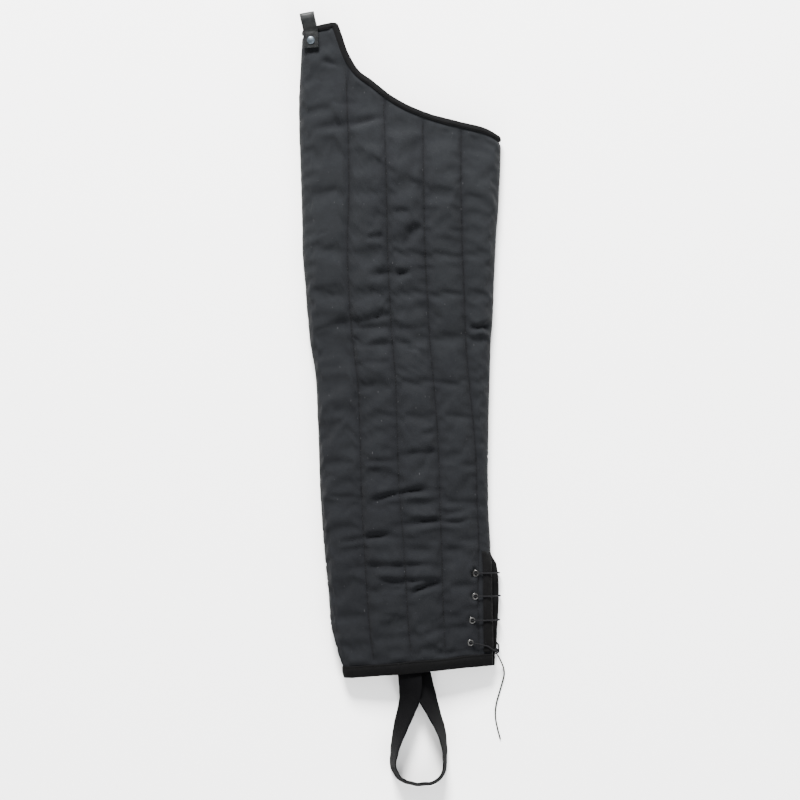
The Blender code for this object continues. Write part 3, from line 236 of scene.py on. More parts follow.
# Columns in each channel of the front and of the back sheet, from the outer fold to the inner
FRONT_COUNTS = (10, 26, 26, 26, 26, 14, 8)
BACK_COUNTS = (6, 16, 16, 16, 16, 10, 6)
EDGE_ROWS, LEG_ROWS, VENT_ROWS = 4, 236, 56
LINES = range(2, 6)


def ease(t):
    """Rises from 0 to 1 with level ends: 3 t squared less 2 t cubed."""
    t = np.clip(t, 0.0, 1.0)
    return t * t * (3 - 2 * t)


def quarter(t):
    """A quarter round: upright at 0 and level at 1."""
    return np.sqrt(1 - (1 - np.clip(t, 0.0, 1.0)) ** 2)


def unit(vectors):
    """Vectors divided by their own lengths."""
    return vectors / np.linalg.norm(vectors, axis=-1, keepdims=True)


def run_along(path):
    """Distance from a path's start to each of its points: the running sum of its steps."""
    return np.concatenate([[0], np.cumsum(np.linalg.norm(np.diff(path, axis=0), axis=1))])


def circle(count):
    """Even angles once round a circle."""
    return np.linspace(0, math.tau, count, endpoint=False)


def mesh_steps(down, across):
    """Row and column numbers of every cell of a grid, as two flat arrays."""
    return [n.ravel() for n in np.meshgrid(np.arange(down), np.arange(across), indexing="ij")]


def through(xs, ys, at):
    """A smooth curve through points: a cubic on each step, with slopes from both neighbours."""
    slopes = np.gradient(ys, xs)
    at = np.clip(at, xs[0], xs[-1])
    i = np.clip(np.searchsorted(xs, at) - 1, 0, len(xs) - 2)
    step = xs[i + 1] - xs[i]
    t = (at - xs[i]) / step
    return (ys[i] * (1 + 2 * t) * (1 - t) ** 2 + slopes[i] * step * t * (1 - t) ** 2
            + ys[i + 1] * t * t * (3 - 2 * t) + slopes[i + 1] * step * t * t * (t - 1))


def through_rows(xs, rows, at):
    """The same smooth curve through each column of a table."""
    return np.stack([through(xs, column, at) for column in rows.T], -1)


def rumple(x, y, wide, tall, seed):
    """Smooth noise from -1 to 1: random heights on a lattice, eased between its corners."""
    heights = np.random.default_rng(seed).uniform(-1, 1, (97, 97))
    u, v = x / wide + 970, y / tall + 970
    i, j = np.floor(u).astype(int), np.floor(v).astype(int)
    a, b = ease(u - i), ease(v - j)

    def corner(right, up):
        """The height at a lattice point, so many steps right and up from the cell's first corner."""
        return heights[(i + right) % 97, (j + up) % 97]

    near = corner(0, 0) * (1 - a) + corner(1, 0) * a
    far = corner(0, 1) * (1 - a) + corner(1, 1) * a
    return near * (1 - b) + far * b


# The leg's surface

def vent_open(y):
    """How far the vent has opened: 0 at its top and above, 1 below its easing."""
    return ease((VENT_TOP - y) / VENT_EASE)


def sides(y, back):
    """Outer and inner x at a height. In the vent the back sheet shows past the front one."""
    share = y / LENGTH
    outer = HALF * through(SECTIONS[:, 0], SECTIONS[:, 1], share)
    inner = HALF * through(SECTIONS[:, 0], SECTIONS[:, 2], share)
    show = through(VENT_EDGE[:, 0], VENT_EDGE[:, 1], (VENT_TOP - y) / VENT_LENGTH)
    return outer, inner + back * VENT_SHOW * show * vent_open(y)


def place_across(lane, y, back):
    """Share of the width at a lane number: 0 outer fold, 2 to 5 stitch lines, 6 tape, 7 fold."""
    outer, inner = sides(y, back)
    station = y / LENGTH
    lines = [0 * station] + [through(STITCHES[:, 0], line, station) for line in STITCHES.T[1:]]
    lines = np.stack(lines + [1 - TAPE_WIDTH / (inner - outer), 0 * station + 1])
    i = np.minimum(np.broadcast_to(lane, y.shape).astype(int), 6)
    part = lane - i
    before = np.take_along_axis(lines, i[None], 0)[0]
    after = np.take_along_axis(lines, i[None] + 1, 0)[0]
    return before * (1 - part) + after * part


def edge_line(share, back, top):
    """The top edge or the hem as x and y: a drop or a rise read at each share of the width."""
    if top:
        y = LENGTH - TOP_DROP * np.maximum(through(TOP_EDGE[:, 0], TOP_EDGE[:, 1], share), 0)
    else:
        y = HEM_RISE * through(HEM_LINE[:, 0], HEM_LINE[:, 1], share)
    outer, inner = sides(y, back)
    return outer + share * (inner - outer), y


def tape_line(share, back, top):
    """The line a tape's width inside an edge, square to it, as a share and a height."""
    into = -1 if top else 1
    x, y = edge_line(share, back, top)
    x0, y0 = edge_line(np.maximum(share - 0.038, 0), back, top)
    x1, y1 = edge_line(np.minimum(share + 0.038, 1), back, top)
    along = unit(np.stack([x1 - x0, y1 - y0], -1))
    aside = ease(share / 0.05) * ease((1 - share) / 0.05)
    reach = into * (TOP_TAPE_WIDTH if top else HEM_TAPE_WIDTH)
    x = x - along[..., 1] * reach * aside
    y = y + (aside * along[..., 0] + 1 - aside) * reach
    outer, inner = sides(y, back)
    return np.clip((x - outer) / (inner - outer), 0, 1), y


def lanes(counts):
    """Lane numbers across one sheet, closer together by the stitch lines."""
    found = []
    for lane, count in enumerate(counts):
        t = np.arange(count) / count
        found.append(lane + 0.45 * t + 0.55 * (0.5 - 0.5 * np.cos(np.pi * t)))
    return np.concatenate(found + [[float(len(counts))]])


def facing(points, closed_rows):
    """Normals of a grid: the cross product of the steps down and around, closed where it joins."""
    down = np.gradient(points, axis=0)
    around = np.gradient(points, axis=1)
    ring = points[:closed_rows, 1] - points[:closed_rows, -2]
    around[:closed_rows, 0] = around[:closed_rows, -1] = ring
    return unit(np.cross(down, around))


def crease_field(x, y, creases):
    """Depth of creases at points: a bell-shaped valley with a low lip each side, on a bent line."""
    depth = np.zeros_like(x)
    for n, (x0, y0, x1, y1, bow, deep, width) in enumerate(creases):
        start = np.array([x0 * HALF, y0 * LENGTH])
        run = np.array([x1 * HALF, y1 * LENGTH]) - start
        length = math.hypot(*run)
        along = ((x - start[0]) * run[0] + (y - start[1]) * run[1]) / length**2
        aside = ((y - start[1]) * run[0] - (x - start[0]) * run[1]) / length
        aside = aside + bow / 1000 * 4 * along * (1 - along) + 0.0005 * np.sin(along * 13 + n)
        aside = aside + 0.014 * length * np.sin(along * 5.1 + n * 2.3)
        wide = CREASE_WIDTH * width * (0.72 + 0.15 * np.sin(along * 5 + n * 1.7))
        shape = np.exp(-(np.abs(aside / wide * 1.5) ** 1.3))
        for lip in (-1.5, 1.5):
            shape -= 0.40 * np.exp(-((aside / wide - lip) ** 2))
        depth += CREASE_DEPTH * deep * shape * ease(along / 0.3) * ease((1 - along) / 0.3)
    return depth


def small_creases(count, seed):
    """Short creases strewn between the stitch lines, most of them rising a little inwards."""
    rng = np.random.default_rng(seed)
    found = []
    for _ in range(count):
        x, y = rng.uniform(-0.88, 0.86), rng.uniform(0.03, 0.93)
        reach = rng.uniform(0.06, 0.20)
        tip = rng.normal(0.004, 0.009)
        found.append((x, y - tip, x + reach, y + tip, rng.normal(0, 1.5), rng.uniform(0.14, 0.40),
                      rng.uniform(0.32, 0.60)))
    return found


class Shell:
    """The leg's outer surface and lining on one grid, rows down and columns round the leg.

    The columns run from the vent's back edge over the back sheet to the outer fold, and over
    the front sheet to the vent's front edge. A point is found from its lane across and its row.
    """

    def __init__(self):
        """Finds every point's place across and its height, row by row, then the plain tube."""
        front, back = lanes(FRONT_COUNTS), lanes(BACK_COUNTS)[1:]
        self.lane = np.concatenate([back[::-1], front])
        self.back = np.concatenate([np.ones(len(back)), np.zeros(len(front))])
        ends = [edge_line(np.ones(1), 0, top)[1][0] for top in (True, False)]
        top_y, hem_y = ends[0] - TOP_TAPE_WIDTH, ends[1] + HEM_TAPE_WIDTH
        vent_down = (top_y - VENT_TOP) / (top_y - hem_y)
        downs = np.concatenate([np.linspace(0, vent_down, LEG_ROWS),
                                np.linspace(vent_down, 1, VENT_ROWS + 1)[1:]])
        self.vent_row = EDGE_ROWS + LEG_ROWS - 1
        self.rows = len(downs) + 2 * EDGE_ROWS
        self.down = np.concatenate([np.zeros(EDGE_ROWS), downs, np.ones(EDGE_ROWS)])[:, None]
        lane, sheet = self.lane, self.back
        top_share = place_across(lane, np.full(lane.shape, LENGTH), sheet)
        hem_share = place_across(lane, np.zeros(lane.shape), sheet)
        top_in, top_in_y = tape_line(top_share, sheet, True)
        hem_in, hem_in_y = tape_line(hem_share, sheet, False)
        y = top_in_y + (hem_in_y - top_in_y) * downs[:, None]
        share = place_across(lane, y, sheet)
        share = share + (top_in - share[0]) * (1 - ease(downs / 0.08))[:, None]
        share = share + (hem_in - share[-1]) * ease((downs - 0.92) / 0.08)[:, None]
        t = np.arange(EDGE_ROWS)[:, None] / EDGE_ROWS
        top_y, hem_y = edge_line(top_share, sheet, True)[1], edge_line(hem_share, sheet, False)[1]
        self.y = np.concatenate([top_y + (top_in_y - top_y) * t, y,
                                 hem_y + (hem_in_y - hem_y) * t[::-1]])
        self.share = np.concatenate([top_share + (top_in - top_share) * t, share,
                                     hem_share + (hem_in - hem_share) * t[::-1]])
        self.tape_rows = (EDGE_ROWS, self.rows - 1 - EDGE_ROWS)
        self.base()

    def base(self):
        """The tube with no stitches: quarter rounds at the folds, and the front sheet crowned."""
        left, right = sides(self.y, self.back)
        width = right - left
        self.x = left + self.share * width
        self.width = width
        opened = vent_open(self.y)
        outside, inside = self.share * width, (1 - self.share) * width
        turn = quarter(outside / SIDE_ROUND)
        close = quarter(inside / SIDE_ROUND)
        turn = turn * (close + (1 - close) * opened)
        lining_x = self.x + WALL * (1 - ease(outside / (2 * SIDE_ROUND)))
        lining_x = lining_x - WALL * (1 - ease(inside / (2 * SIDE_ROUND))) * (1 - opened)
        mouth = 0.4 + 0.6 * ease(self.down * LENGTH / MOUTH_EASE)
        crown = CROWN * through(SECTIONS[:, 0], SECTIONS[:, 3], self.y / LENGTH) * mouth
        crown = crown * np.sin(np.pi * np.clip(self.share, 0, 1)) ** 0.8
        rise = SIDE_HEIGHT - FOLD_HEIGHT
        lift = VENT_LIFT * opened * ease((2 * VENT_LIFT_REACH - inside) / VENT_LIFT_REACH)
        front_z = FOLD_HEIGHT + rise * turn + crown
        back_z = FOLD_HEIGHT * (1 - turn) + lift
        self.outer = np.stack([self.x, self.y, np.where(self.back > 0, back_z, front_z)], -1)
        front_z = FOLD_HEIGHT + (rise - WALL) * turn + crown
        back_z = FOLD_HEIGHT - (FOLD_HEIGHT - WALL) * turn + lift
        self.lining = np.stack([lining_x, self.y, np.where(self.back > 0, back_z, front_z)], -1)
        self.join()
        tape = place_across(np.full(self.lane.shape, 6.0), self.y, self.back)
        d_tape = (tape - self.share) * width
        bound = np.where(self.lane >= 6, 1.0, 1 - ease(d_tape / TOP_EASE)) * opened
        below_top = (self.y[self.tape_rows[0]] - self.y) / TOP_EASE
        above_hem = (self.y - self.y[self.tape_rows[1]]) / HEM_EASE
        bound = np.maximum(bound, 1 - ease(below_top))
        self.bound = np.maximum(bound, 1 - ease(above_hem))

    def join(self):
        """Lays the last column on the first above the vent, where the tube is closed."""
        for grid in (self.outer, self.lining):
            grid[: self.vent_row + 1, -1] = grid[: self.vent_row + 1, 0]

    def from_line(self):
        """Distance from each point to the nearest lengthwise stitch line."""
        lines = [place_across(np.full(self.lane.shape, float(n)), self.y, self.back) for n in LINES]
        return np.min([np.abs(line - self.share) for line in lines], 0) * self.width

    def press(self, middle, axis, low, high):
        """Draws cloth and lining flat under an eyelet's two flanges, and eases out round them."""
        for grid, level in ((self.outer, high - 0.0011), (self.lining, low + 0.0010)):
            away = grid - middle
            along = away @ axis
            across = np.linalg.norm(away - along[..., None] * axis, axis=-1)
            share = ease((2.3 * EYELET_RADIUS - across) / (1.1 * EYELET_RADIUS))
            share = share * (np.abs(along) < 0.008)
            grid += ((level - along) * share)[..., None] * axis
        # The cloth round the bore joins the seam mark, so the cloth material paints it dark: painted shade
        # in the hole.
        away = self.outer - middle
        along = away @ axis
        across = np.linalg.norm(away - along[..., None] * axis, axis=-1)
        hole = ease((1.7 * EYELET_BORE - across) / EYELET_BORE) * (np.abs(along) < 0.006)
        self.seam = np.maximum(self.seam, hole)

    def quilt(self, sizes, swell=None):
        """Sinks the stitch lines and edges, and raises folds, puckers and what the padding swelled."""
        away = self.from_line()
        free = 1 - self.bound
        x, y = self.x, self.y
        seam = np.exp(-((away / SEAM_REACH) ** SEAM_POWER))
        sunk = (STITCH_DIP + 0.0004) * seam + sizes.groove * np.exp(-((away / GROOVE_REACH) ** 2))
        front = 1 - self.back
        main = 1.35 * crease_field(x, y, CREASES) * front
        fine = crease_field(x, y, small_creases(120, 5)) * front
        fine = fine + crease_field(x, y, small_creases(70, 8)) * self.back
        crease = (main * (1 - 0.45 * seam) + fine) * free
        pucker = rumple(x, y, 0.050, 0.0058, 11) + 0.6 * rumple(x + 0.3 * y, y, 0.024, 0.0090, 12)
        pucker = pucker * sizes.pucker * np.exp(-away / PUCKER_REACH)
        pucker = pucker * (0.45 + 0.55 * rumple(x, y, 0.05, 0.06, 13))
        swelling = 0.0009 * rumple(x, y, 0.050, 0.075, 14)
        swelling = swelling + 0.0004 * rumple(x, y, 0.018, 0.026, 15)
        out = -sunk * free - EDGE_DIP * self.bound - crease + (pucker + swelling) * free
        past = np.arange(self.rows) - self.tape_rows[1]
        out -= HEM_ROLL * (np.maximum(past, 0) / EDGE_ROWS)[:, None] ** 1.6
        normal = facing(self.outer, self.vent_row + 1)
        if swell is not None:
            self.outer = self.outer + swell * (free * (1 - 0.6 * seam))[..., None]
        self.outer = self.outer + normal * out[..., None]
        inward = facing(self.lining, self.vent_row + 1)
        dip_in = (WALL - STITCH_DIP - STITCH_WALL) * seam * free
        dip_in = dip_in + (WALL - EDGE_DIP - EDGE_WALL) * self.bound
        self.lining = self.lining + inward * dip_in[..., None]
        self.outer[..., 2] = np.maximum(self.outer[..., 2], 0.0002)
        self.join()
        self.normal = facing(self.outer, self.vent_row + 1)
        self.inward = facing(self.lining, self.vent_row + 1)
        # The seam mark carries the groove's shape to the cloth material, which paints shade into the
        # groove.
        self.seam = seam * free
        self.fold = np.clip(crease / CREASE_DEPTH, -1, 1)


def swollen(shell):
    """How far the padding swells the outer skin: cloth under pressure, held at its stitch lines.

    The skin is taken at every third row and every second column. The cloth is let grow a
    little, so that it rucks between its seams. The move is capped, smoothed and spread back.
    """
    rows = np.unique(np.concatenate([np.arange(0, shell.vent_row, 3), [shell.vent_row],
                                     np.arange(shell.vent_row, shell.rows, 3), [shell.rows - 1]]))
    columns = np.arange(0, len(shell.lane), 2)
    if columns[-1] != len(shell.lane) - 1:
        columns = np.append(columns, len(shell.lane) - 1)
    away = shell.from_line()
    sunk = STITCH_DIP * np.exp(-((away / SEAM_REACH) ** SEAM_POWER)) * (1 - shell.bound)
    start = shell.outer - facing(shell.outer, shell.vent_row + 1) * sunk[..., None]
    start = start[np.ix_(rows, columns)]
    held = np.maximum(np.exp(-((away / HELD_REACH) ** 2)), shell.bound)[np.ix_(rows, columns)]
    held = np.maximum(held, np.exp(-((np.minimum(shell.lane, 7 - shell.lane)[columns] / 0.5) ** 2)))
    skin = grid_piece("padding_trial", start, None)
    group = skin.vertex_groups.new(name="held")
    for step in range(1, 11):
        near = np.flatnonzero(np.round(held.ravel() * 10).astype(int) == step)
        group.add(near.tolist(), step / 10, "REPLACE")
    cloth = skin.modifiers.new("padding", "CLOTH")
    settings = cloth.settings
    settings.quality = 5
    settings.mass = 0.15
    settings.tension_stiffness = settings.compression_stiffness = 12
    settings.shear_stiffness = 4
    settings.bending_stiffness = 0.6
    settings.use_pressure = True
    settings.uniform_pressure_force = 4
    settings.shrink_min = -0.045
    settings.vertex_group_mass = "held"
    settings.pin_stiffness = 1
    settings.effector_weights.gravity = 0
    cloth.collision_settings.use_collision = False
    scene = bpy.context.scene
    for number in range(1, 21):
        scene.frame_set(number)
    found = skin.evaluated_get(bpy.context.evaluated_depsgraph_get()).to_mesh()
    after = np.empty(len(found.vertices) * 3)
    found.vertices.foreach_get("co", after)
    scene.frame_set(1)
    move = after.reshape(start.shape) - start
    bpy.data.objects.remove(skin)
    size = np.linalg.norm(move, axis=-1, keepdims=True)
    move = move * np.minimum(1, MOST_SWELL / np.maximum(size, 1e-9))
    for axis, marks, count in ((0, rows, shell.rows), (1, columns, len(shell.lane))):
        i = np.clip(np.searchsorted(marks, np.arange(count), "right") - 1, 0, len(marks) - 2)
        t = (np.arange(count) - marks[i]) / (marks[i + 1] - marks[i])
        t = t.reshape((-1, 1, 1) if axis == 0 else (1, -1, 1))
        move = np.take(move, i, axis) * (1 - t) + np.take(move, i + 1, axis) * t
    for axis in (0, 0, 1):
        padded = np.concatenate([np.take(move, [0], axis), move, np.take(move, [-1], axis)], axis)
        before = np.take(padded, range(move.shape[axis]), axis)
        after = np.take(padded, range(2, move.shape[axis] + 2), axis)
        move = (before + 2 * move + after) / 4
    return move


# Meshes from arrays

def finished(name, mesh, material):
    """Makes an object of a mesh, smooth, at the origin."""
    mesh.shade_smooth()
    piece = bpy.data.objects.new(name, mesh)
    bpy.context.collection.objects.link(piece)
    if material is not None:
        mesh.materials.append(material)
    return piece


def quads_mesh(name, points, quads, corner_uv=None, marks=None):
    """A mesh of four-sided faces from arrays, with its UV map and its attributes."""
    mesh = bpy.data.meshes.new(name)
    mesh.vertices.add(len(points))
    mesh.vertices.foreach_set("co", np.asarray(points, dtype=np.float32).ravel())
    mesh.loops.add(quads.size)
    mesh.loops.foreach_set("vertex_index", quads.astype(np.int32).ravel())
    mesh.polygons.add(len(quads))
    mesh.polygons.foreach_set("loop_start", np.arange(0, quads.size, 4, dtype=np.int32))
    mesh.update(calc_edges=True)
    if corner_uv is not None:
        layer = mesh.uv_layers.new(name="cloth")
        layer.uv.foreach_set("vector", np.asarray(corner_uv, dtype=np.float32).ravel())
    for key, values in (marks or {}).items():
        mark = mesh.attributes.new(key, "FLOAT", "POINT")
        mark.data.foreach_set("value", np.asarray(values, dtype=np.float32).ravel())
    return mesh


def grid_quads(rows, columns):
    """Corner numbers of each cell of a grid, as (row, column) pairs in order round the cell."""
    j, k = mesh_steps(rows - 1, columns - 1)
    return np.stack([np.stack([j, k], -1), np.stack([j + 1, k], -1),
                     np.stack([j + 1, k + 1], -1), np.stack([j, k + 1], -1)], 1)


def grid_piece(name, grid, material):
    """A plain open sheet over a grid of points."""
    rows, columns = grid.shape[:2]
    cells = grid_quads(rows, columns)
    quads = cells[..., 0] * columns + cells[..., 1]
    return finished(name, quads_mesh(name, grid.reshape(-1, 3), quads), material)


def face_out(mesh, points, quads):
    """Turns a closed mesh outwards where its volume, summed over its faces, is negative."""
    a, b, c, d = (points[quads[:, n]] for n in range(4))
    if np.sum(np.cross(a, b) * c) + np.sum(np.cross(a, c) * d) < 0:
        mesh.flip_normals()


def tube_piece(name, rings, material, uv, closed=False, sharp=None):
    """Rings of points joined into a skin: a loop, or a tube with a fan at each end.

    Rings has the shape (along, around, 3), and uv gives the metres along each ring and round
    it, as arrays of along + 1 and around + 1 values where it is closed that way.
    """
    along, around = rings.shape[:2]
    spans = along if closed else along - 1
    j, k = mesh_steps(spans, around)
    next_j, next_k = (j + 1) % along, (k + 1) % around
    quads = np.stack([j * around + k, j * around + next_k,
                      next_j * around + next_k, next_j * around + k], -1)
    length, girth = uv
    corner_uv = np.stack([
        np.stack([girth[k], length[j]], -1), np.stack([girth[k + 1], length[j]], -1),
        np.stack([girth[k + 1], length[j + 1]], -1), np.stack([girth[k], length[j + 1]], -1)], 1)
    points, faces = rings.reshape(-1, 3), quads.tolist()
    if not closed:
        base, last = len(points), (along - 1) * around
        points = np.concatenate([points, [rings[0].mean(0), rings[-1].mean(0)]])
        k = np.arange(around)
        n = (k + 1) % around
        fans = [np.stack([0 * k + base, n, k], -1), np.stack([0 * k + base + 1, last + k, last + n], -1)]
        faces += np.stack(fans, 1).reshape(-1, 3).tolist()
    mesh = bpy.data.meshes.new(name)
    mesh.from_pydata(points, [], faces)
    layer = mesh.uv_layers.new(name="cloth")
    flat = np.zeros((len(mesh.loops), 2), dtype=np.float32)
    flat[: corner_uv.size // 2] = corner_uv.reshape(-1, 2)
    layer.uv.foreach_set("vector", flat.ravel())
    face_out(mesh, points, quads)
    mesh.update()
    piece = finished(name, mesh, material)
    if sharp:
        mesh.set_sharp_from_angle(angle=math.radians(sharp))
    return piece


def hold(piece, slot, *nodes):
    """Puts a piece under its body, the root, and hides the CAD nodes that it replaces. The slot is not
    used.
    """
    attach(piece, "root")
    if nodes:
        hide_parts(*nodes)
    return piece


def turned_piece(name, profile, place, axis, material, sides_round=40):
    """A profile of radius and height turned about an axis: each point goes round in a circle."""
    axis = unit(np.asarray(axis, dtype=float))
    aside = unit(np.cross(axis, (0.0, 1.0, 0.2)))
    other = np.cross(axis, aside)
    angle = circle(sides_round)
    radius, height = np.array(profile).T
    round_about = np.cos(angle)[:, None] * aside + np.sin(angle)[:, None] * other
    rings = radius[:, None, None] * round_about + height[:, None, None] * axis + place
    length = run_along(np.array(profile))
    length = np.append(length, length[-1] + 0.001)
    girth = np.linspace(0, math.tau * radius.max(), sides_round + 1)
    loop = radius.min() > 0.0005
    return tube_piece(name, rings, material, (length, girth), closed=loop, sharp=50)


# Cords

def placed(route):
    """A route's points in metres, where the frame has them."""
    return np.array(route) / 1000 + SHIFT


def even_path(points, step):
    """Points at even steps along a smooth curve through a route."""
    marks = run_along(points)
    return through_rows(marks, points, np.linspace(0, marks[-1], int(marks[-1] / step) + 1))


def carried_sides(path, start):
    """Two side vectors carried along a path with no twist of their own, each square to it."""
    tangents = unit(np.gradient(path, axis=0))
    side = np.empty_like(path)
    side[0] = unit(np.cross(np.cross(tangents[0], start), tangents[0]))
    for n in range(1, len(path)):
        moved = side[n - 1] - tangents[n] * side[n - 1].dot(tangents[n])
        side[n] = moved / np.linalg.norm(moved)
    return side, np.cross(tangents, side)


def laid_cord(name, path, material, radius, closed=False):
    """A cord laid of three strands: its radius swells over each strand, which winds along it."""
    side, other = carried_sides(path, (0.1, 0.3, 1.0))
    run = run_along(path)
    angle = circle(CORD_SIDES)
    turns = round(run[-1] / CORD_LAY) if closed else run[-1] / CORD_LAY
    wind = math.tau * turns * run / run[-1]
    size = radius * (0.92 + 0.14 * np.abs(np.cos(CORD_STRANDS / 2 * (angle - wind[:, None]))))
    if not closed:
        blunt = 0.55 + 0.45 * quarter(np.minimum(run, run[-1] - run) / 0.0008)
        size = size * np.minimum(1, blunt)[:, None]
    rings = path[:, None] + size[..., None] * (
        np.cos(angle)[:, None] * side[:, None] + np.sin(angle)[:, None] * other[:, None])
    rings[..., 2] = np.maximum(rings[..., 2], LOWEST)
    girth = np.linspace(0, math.tau * radius, CORD_SIDES + 1)
    return tube_piece(name, rings[:-1] if closed else rings, material, (run, girth), closed=closed)


def knot_path(centre, size, count=150):
    """An overhand knot drawn tight: a line that winds twice round while it bobs three times."""
    t = np.linspace(0, math.tau, count)
    reach = 2.0 + np.cos(3 * t)
    shape = np.stack([reach * np.cos(2 * t), 1.22 * reach * np.sin(2 * t), 1.15 * np.sin(3 * t)], -1)
    return centre + shape * size / 3


# Stitches

def stitch_row(path, normals, pitch, stitch):
    """Places, directions and normals of stitches at an even pitch along a path."""
    run = run_along(path)
    at = np.arange(pitch, run[-1] - pitch, pitch)

    def read(rows, where):
        """Rows of vectors read at distances along the path, straight between its points."""
        return np.stack([np.interp(where, run, column) for column in rows.T], -1)

    ahead, behind = read(path, at + stitch / 2), read(path, at - stitch / 2)
    return read(path, at), unit(ahead - behind), unit(read(normals, at))


def stitch_piece(name, rows, material, stitch, thick):
    """Stitches as one mesh: each a short thread, full in its middle, whose ends dip in."""
    centres, along, up = (np.concatenate([row[n] for row in rows]) for n in range(3))
    aside = unit(np.cross(along, up))
    up = np.cross(aside, along)
    s = np.array([-1.0, -0.62, 0.0, 0.62, 1.0])
    size = thick * np.array([0.45, 0.88, 1.0, 0.88, 0.45])
    dip = thick * (0.55 - 1.1 * s**2)
    angle = circle(6)
    ring = np.cos(angle)[None, :, None, None] * aside + np.sin(angle)[None, :, None, None] * up
    points = (centres + along * (s * stitch / 2)[:, None, None, None] + up * dip[:, None, None, None]
              + ring * size[:, None, None, None])
    points = np.moveaxis(points, 2, 0).reshape(-1, 3)
    j, k = mesh_steps(4, 6)
    n = (k + 1) % 6
    cell = np.stack([j * 6 + k, (j + 1) * 6 + k, (j + 1) * 6 + n, j * 6 + n], -1)
    ends = np.array([(0, 1, 2, 3), (3, 4, 5, 0), (27, 26, 25, 24), (24, 29, 28, 27)])
    faces = np.concatenate([cell, ends])
    faces = (faces[None] + 30 * np.arange(len(centres))[:, None, None]).reshape(-1, 4)
    mesh = quads_mesh(name, points, faces)
    face_out(mesh, points, faces)
    return finished(name, mesh, material)


# Tapes

def tape_rings(over_in, over_edge, under_in, under_edge, over_up, under_up, seed):
    """A folded tape's skin: its section goes over the cloth, round the edge, back and inside.

    Each array runs along the tape. The section is the cloth's own faces moved out by the gap
    and the tape's thickness, joined by a half round, with a sunk stitch line near its inner side.
    """
    run = run_along(over_edge)
    out = unit(over_edge - over_in + under_edge - under_in)
    waves = [size * rumple(run, 0 * run, wide, 1, seed + n) for n, (size, wide) in enumerate(TAPE_WAVES)]
    ruck = waves[0] + waves[1]
    uneven = (waves[2] + waves[3])[:, None] * out
    rings = []

    def side_of(inner, edge, up, shares, full):
        """Adds rings from the inner side to the edge: on the cloth's face, or inside the fold."""
        for a in shares:
            thick = TAPE_THICK * (0.70 + 0.30 * float(quarter(a / 0.12)) + 0.55 * math.sin(math.pi * a))
            thick -= TAPE_SEAM_SINK * math.exp(-(((a - TAPE_SEAM) / 0.055) ** 2))
            lift = TAPE_GAP + (thick + ruck * math.sin(math.pi * min(a * 1.2, 1))) * full
            lift = (lift + 0 * run)[:, None]
            rings.append(inner + uneven * (1 - a) + (edge - inner) * a + up * lift)

    shares = (0.0, 0.05, 0.12, 0.165, TAPE_SEAM, 0.235, 0.30, 0.45, 0.62, 0.80, 0.92)
    side_of(over_in, over_edge, over_up, shares, 1)
    middle = (over_edge + under_edge) / 2
    high = TAPE_GAP + TAPE_THICK
    first = over_edge + over_up * high - middle
    last = under_edge + under_up * high - middle
    for angle in np.linspace(0.12, math.pi - 0.12, 9):
        c, s = math.cos(angle), math.sin(angle)
        bulge = out * (high + ruck * 0.6)[:, None] * s
        rings.append(middle + first * max(c, 0) + last * max(-c, 0) + bulge)
    side_of(under_in, under_edge, under_up, shares[::-1], 1)
    side_of(under_in, under_edge, under_up, (0.05, 0.9), 0)
    side_of(over_in, over_edge, over_up, (0.9, 0.05), 0)
    seam = over_in + (over_edge - over_in) * TAPE_SEAM + over_up * (TAPE_GAP + TAPE_THICK * 0.98)
    rings = np.stack(rings, 1)
    rings[..., 2] = np.maximum(rings[..., 2], LOWEST)
    return rings, run, seam


def tape_piece(name, rings, run, material, closed):
    """A tape's rings as a piece, with the metres along it and round its section as its UV map."""
    girth = run_along(rings[len(rings) // 2])
    girth = np.append(girth, girth[-1] + 0.001)
    length = np.append(run, run[-1] + 0.003) if closed else run
    return tube_piece(name, rings, material, (length, girth), closed=closed)


# Shader effects

class Nodes:
    """Short ways to add and join nodes in one tree."""

    def __init__(self, tree):
        self.tree = tree

    def join(self, value, socket):
        """Links an output to a socket, or sets the socket's plain value."""
        if isinstance(value, bpy.types.NodeSocket):
            self.tree.links.new(value, socket)
        else:
            socket.default_value = value

    def add(self, kind, inputs=None, **settings):
        """A new node with its settings and inputs."""
        made = self.tree.nodes.new(kind)
        for key, value in settings.items():
            setattr(made, key, value)
        for key, value in (inputs or {}).items():
            self.join(value, made.inputs[key])
        return made

    def place(self):
        """Object coordinates, which are the frame's own, because each piece sits at the origin."""
        return self.add("ShaderNodeTexCoord").outputs["Object"]

    def mark(self, name):
        """A number that the mesh carries at each point."""
        return self.add("ShaderNodeAttribute", attribute_name=name).outputs["Fac"]

    def stretched(self, place, by):
        """A place times a factor on each axis, which draws a pattern out where the factor is small."""
        return self.add("ShaderNodeVectorMath", {0: place, 1: by}, operation="MULTIPLY").outputs[0]

    def math(self, operation, *values, clamp=False):
        """Arithmetic on one or two numbers."""
        made = self.add("ShaderNodeMath", dict(enumerate(values)), operation=operation, use_clamp=clamp)
        return made.outputs[0]

    def mix(self, share, one, two):
        """One colour passing into another as the share goes from 0 to 1."""
        made = self.add("ShaderNodeMix", data_type="RGBA")
        for number, value in ((0, share), (6, one), (7, two)):
            self.join(value, made.inputs[number])
        return made.outputs[2]

    def ramp(self, value, low, high, low_out=0.0, high_out=1.0):
        """A smooth step from one value to another between two limits."""
        made = self.add("ShaderNodeMapRange", {0: value, 1: low, 2: high, 3: low_out, 4: high_out})
        made.interpolation_type = "SMOOTHSTEP"
        return made.outputs[0]

    def noise(self, vector, scale, detail=3.0, rough=0.55):
        """Cloudy noise from 0 to 1, with so many waves to the metre."""
        inputs = {"Vector": vector, "Scale": scale, "Detail": detail, "Roughness": rough}
        return self.add("ShaderNodeTexNoise", inputs).outputs["Fac"]


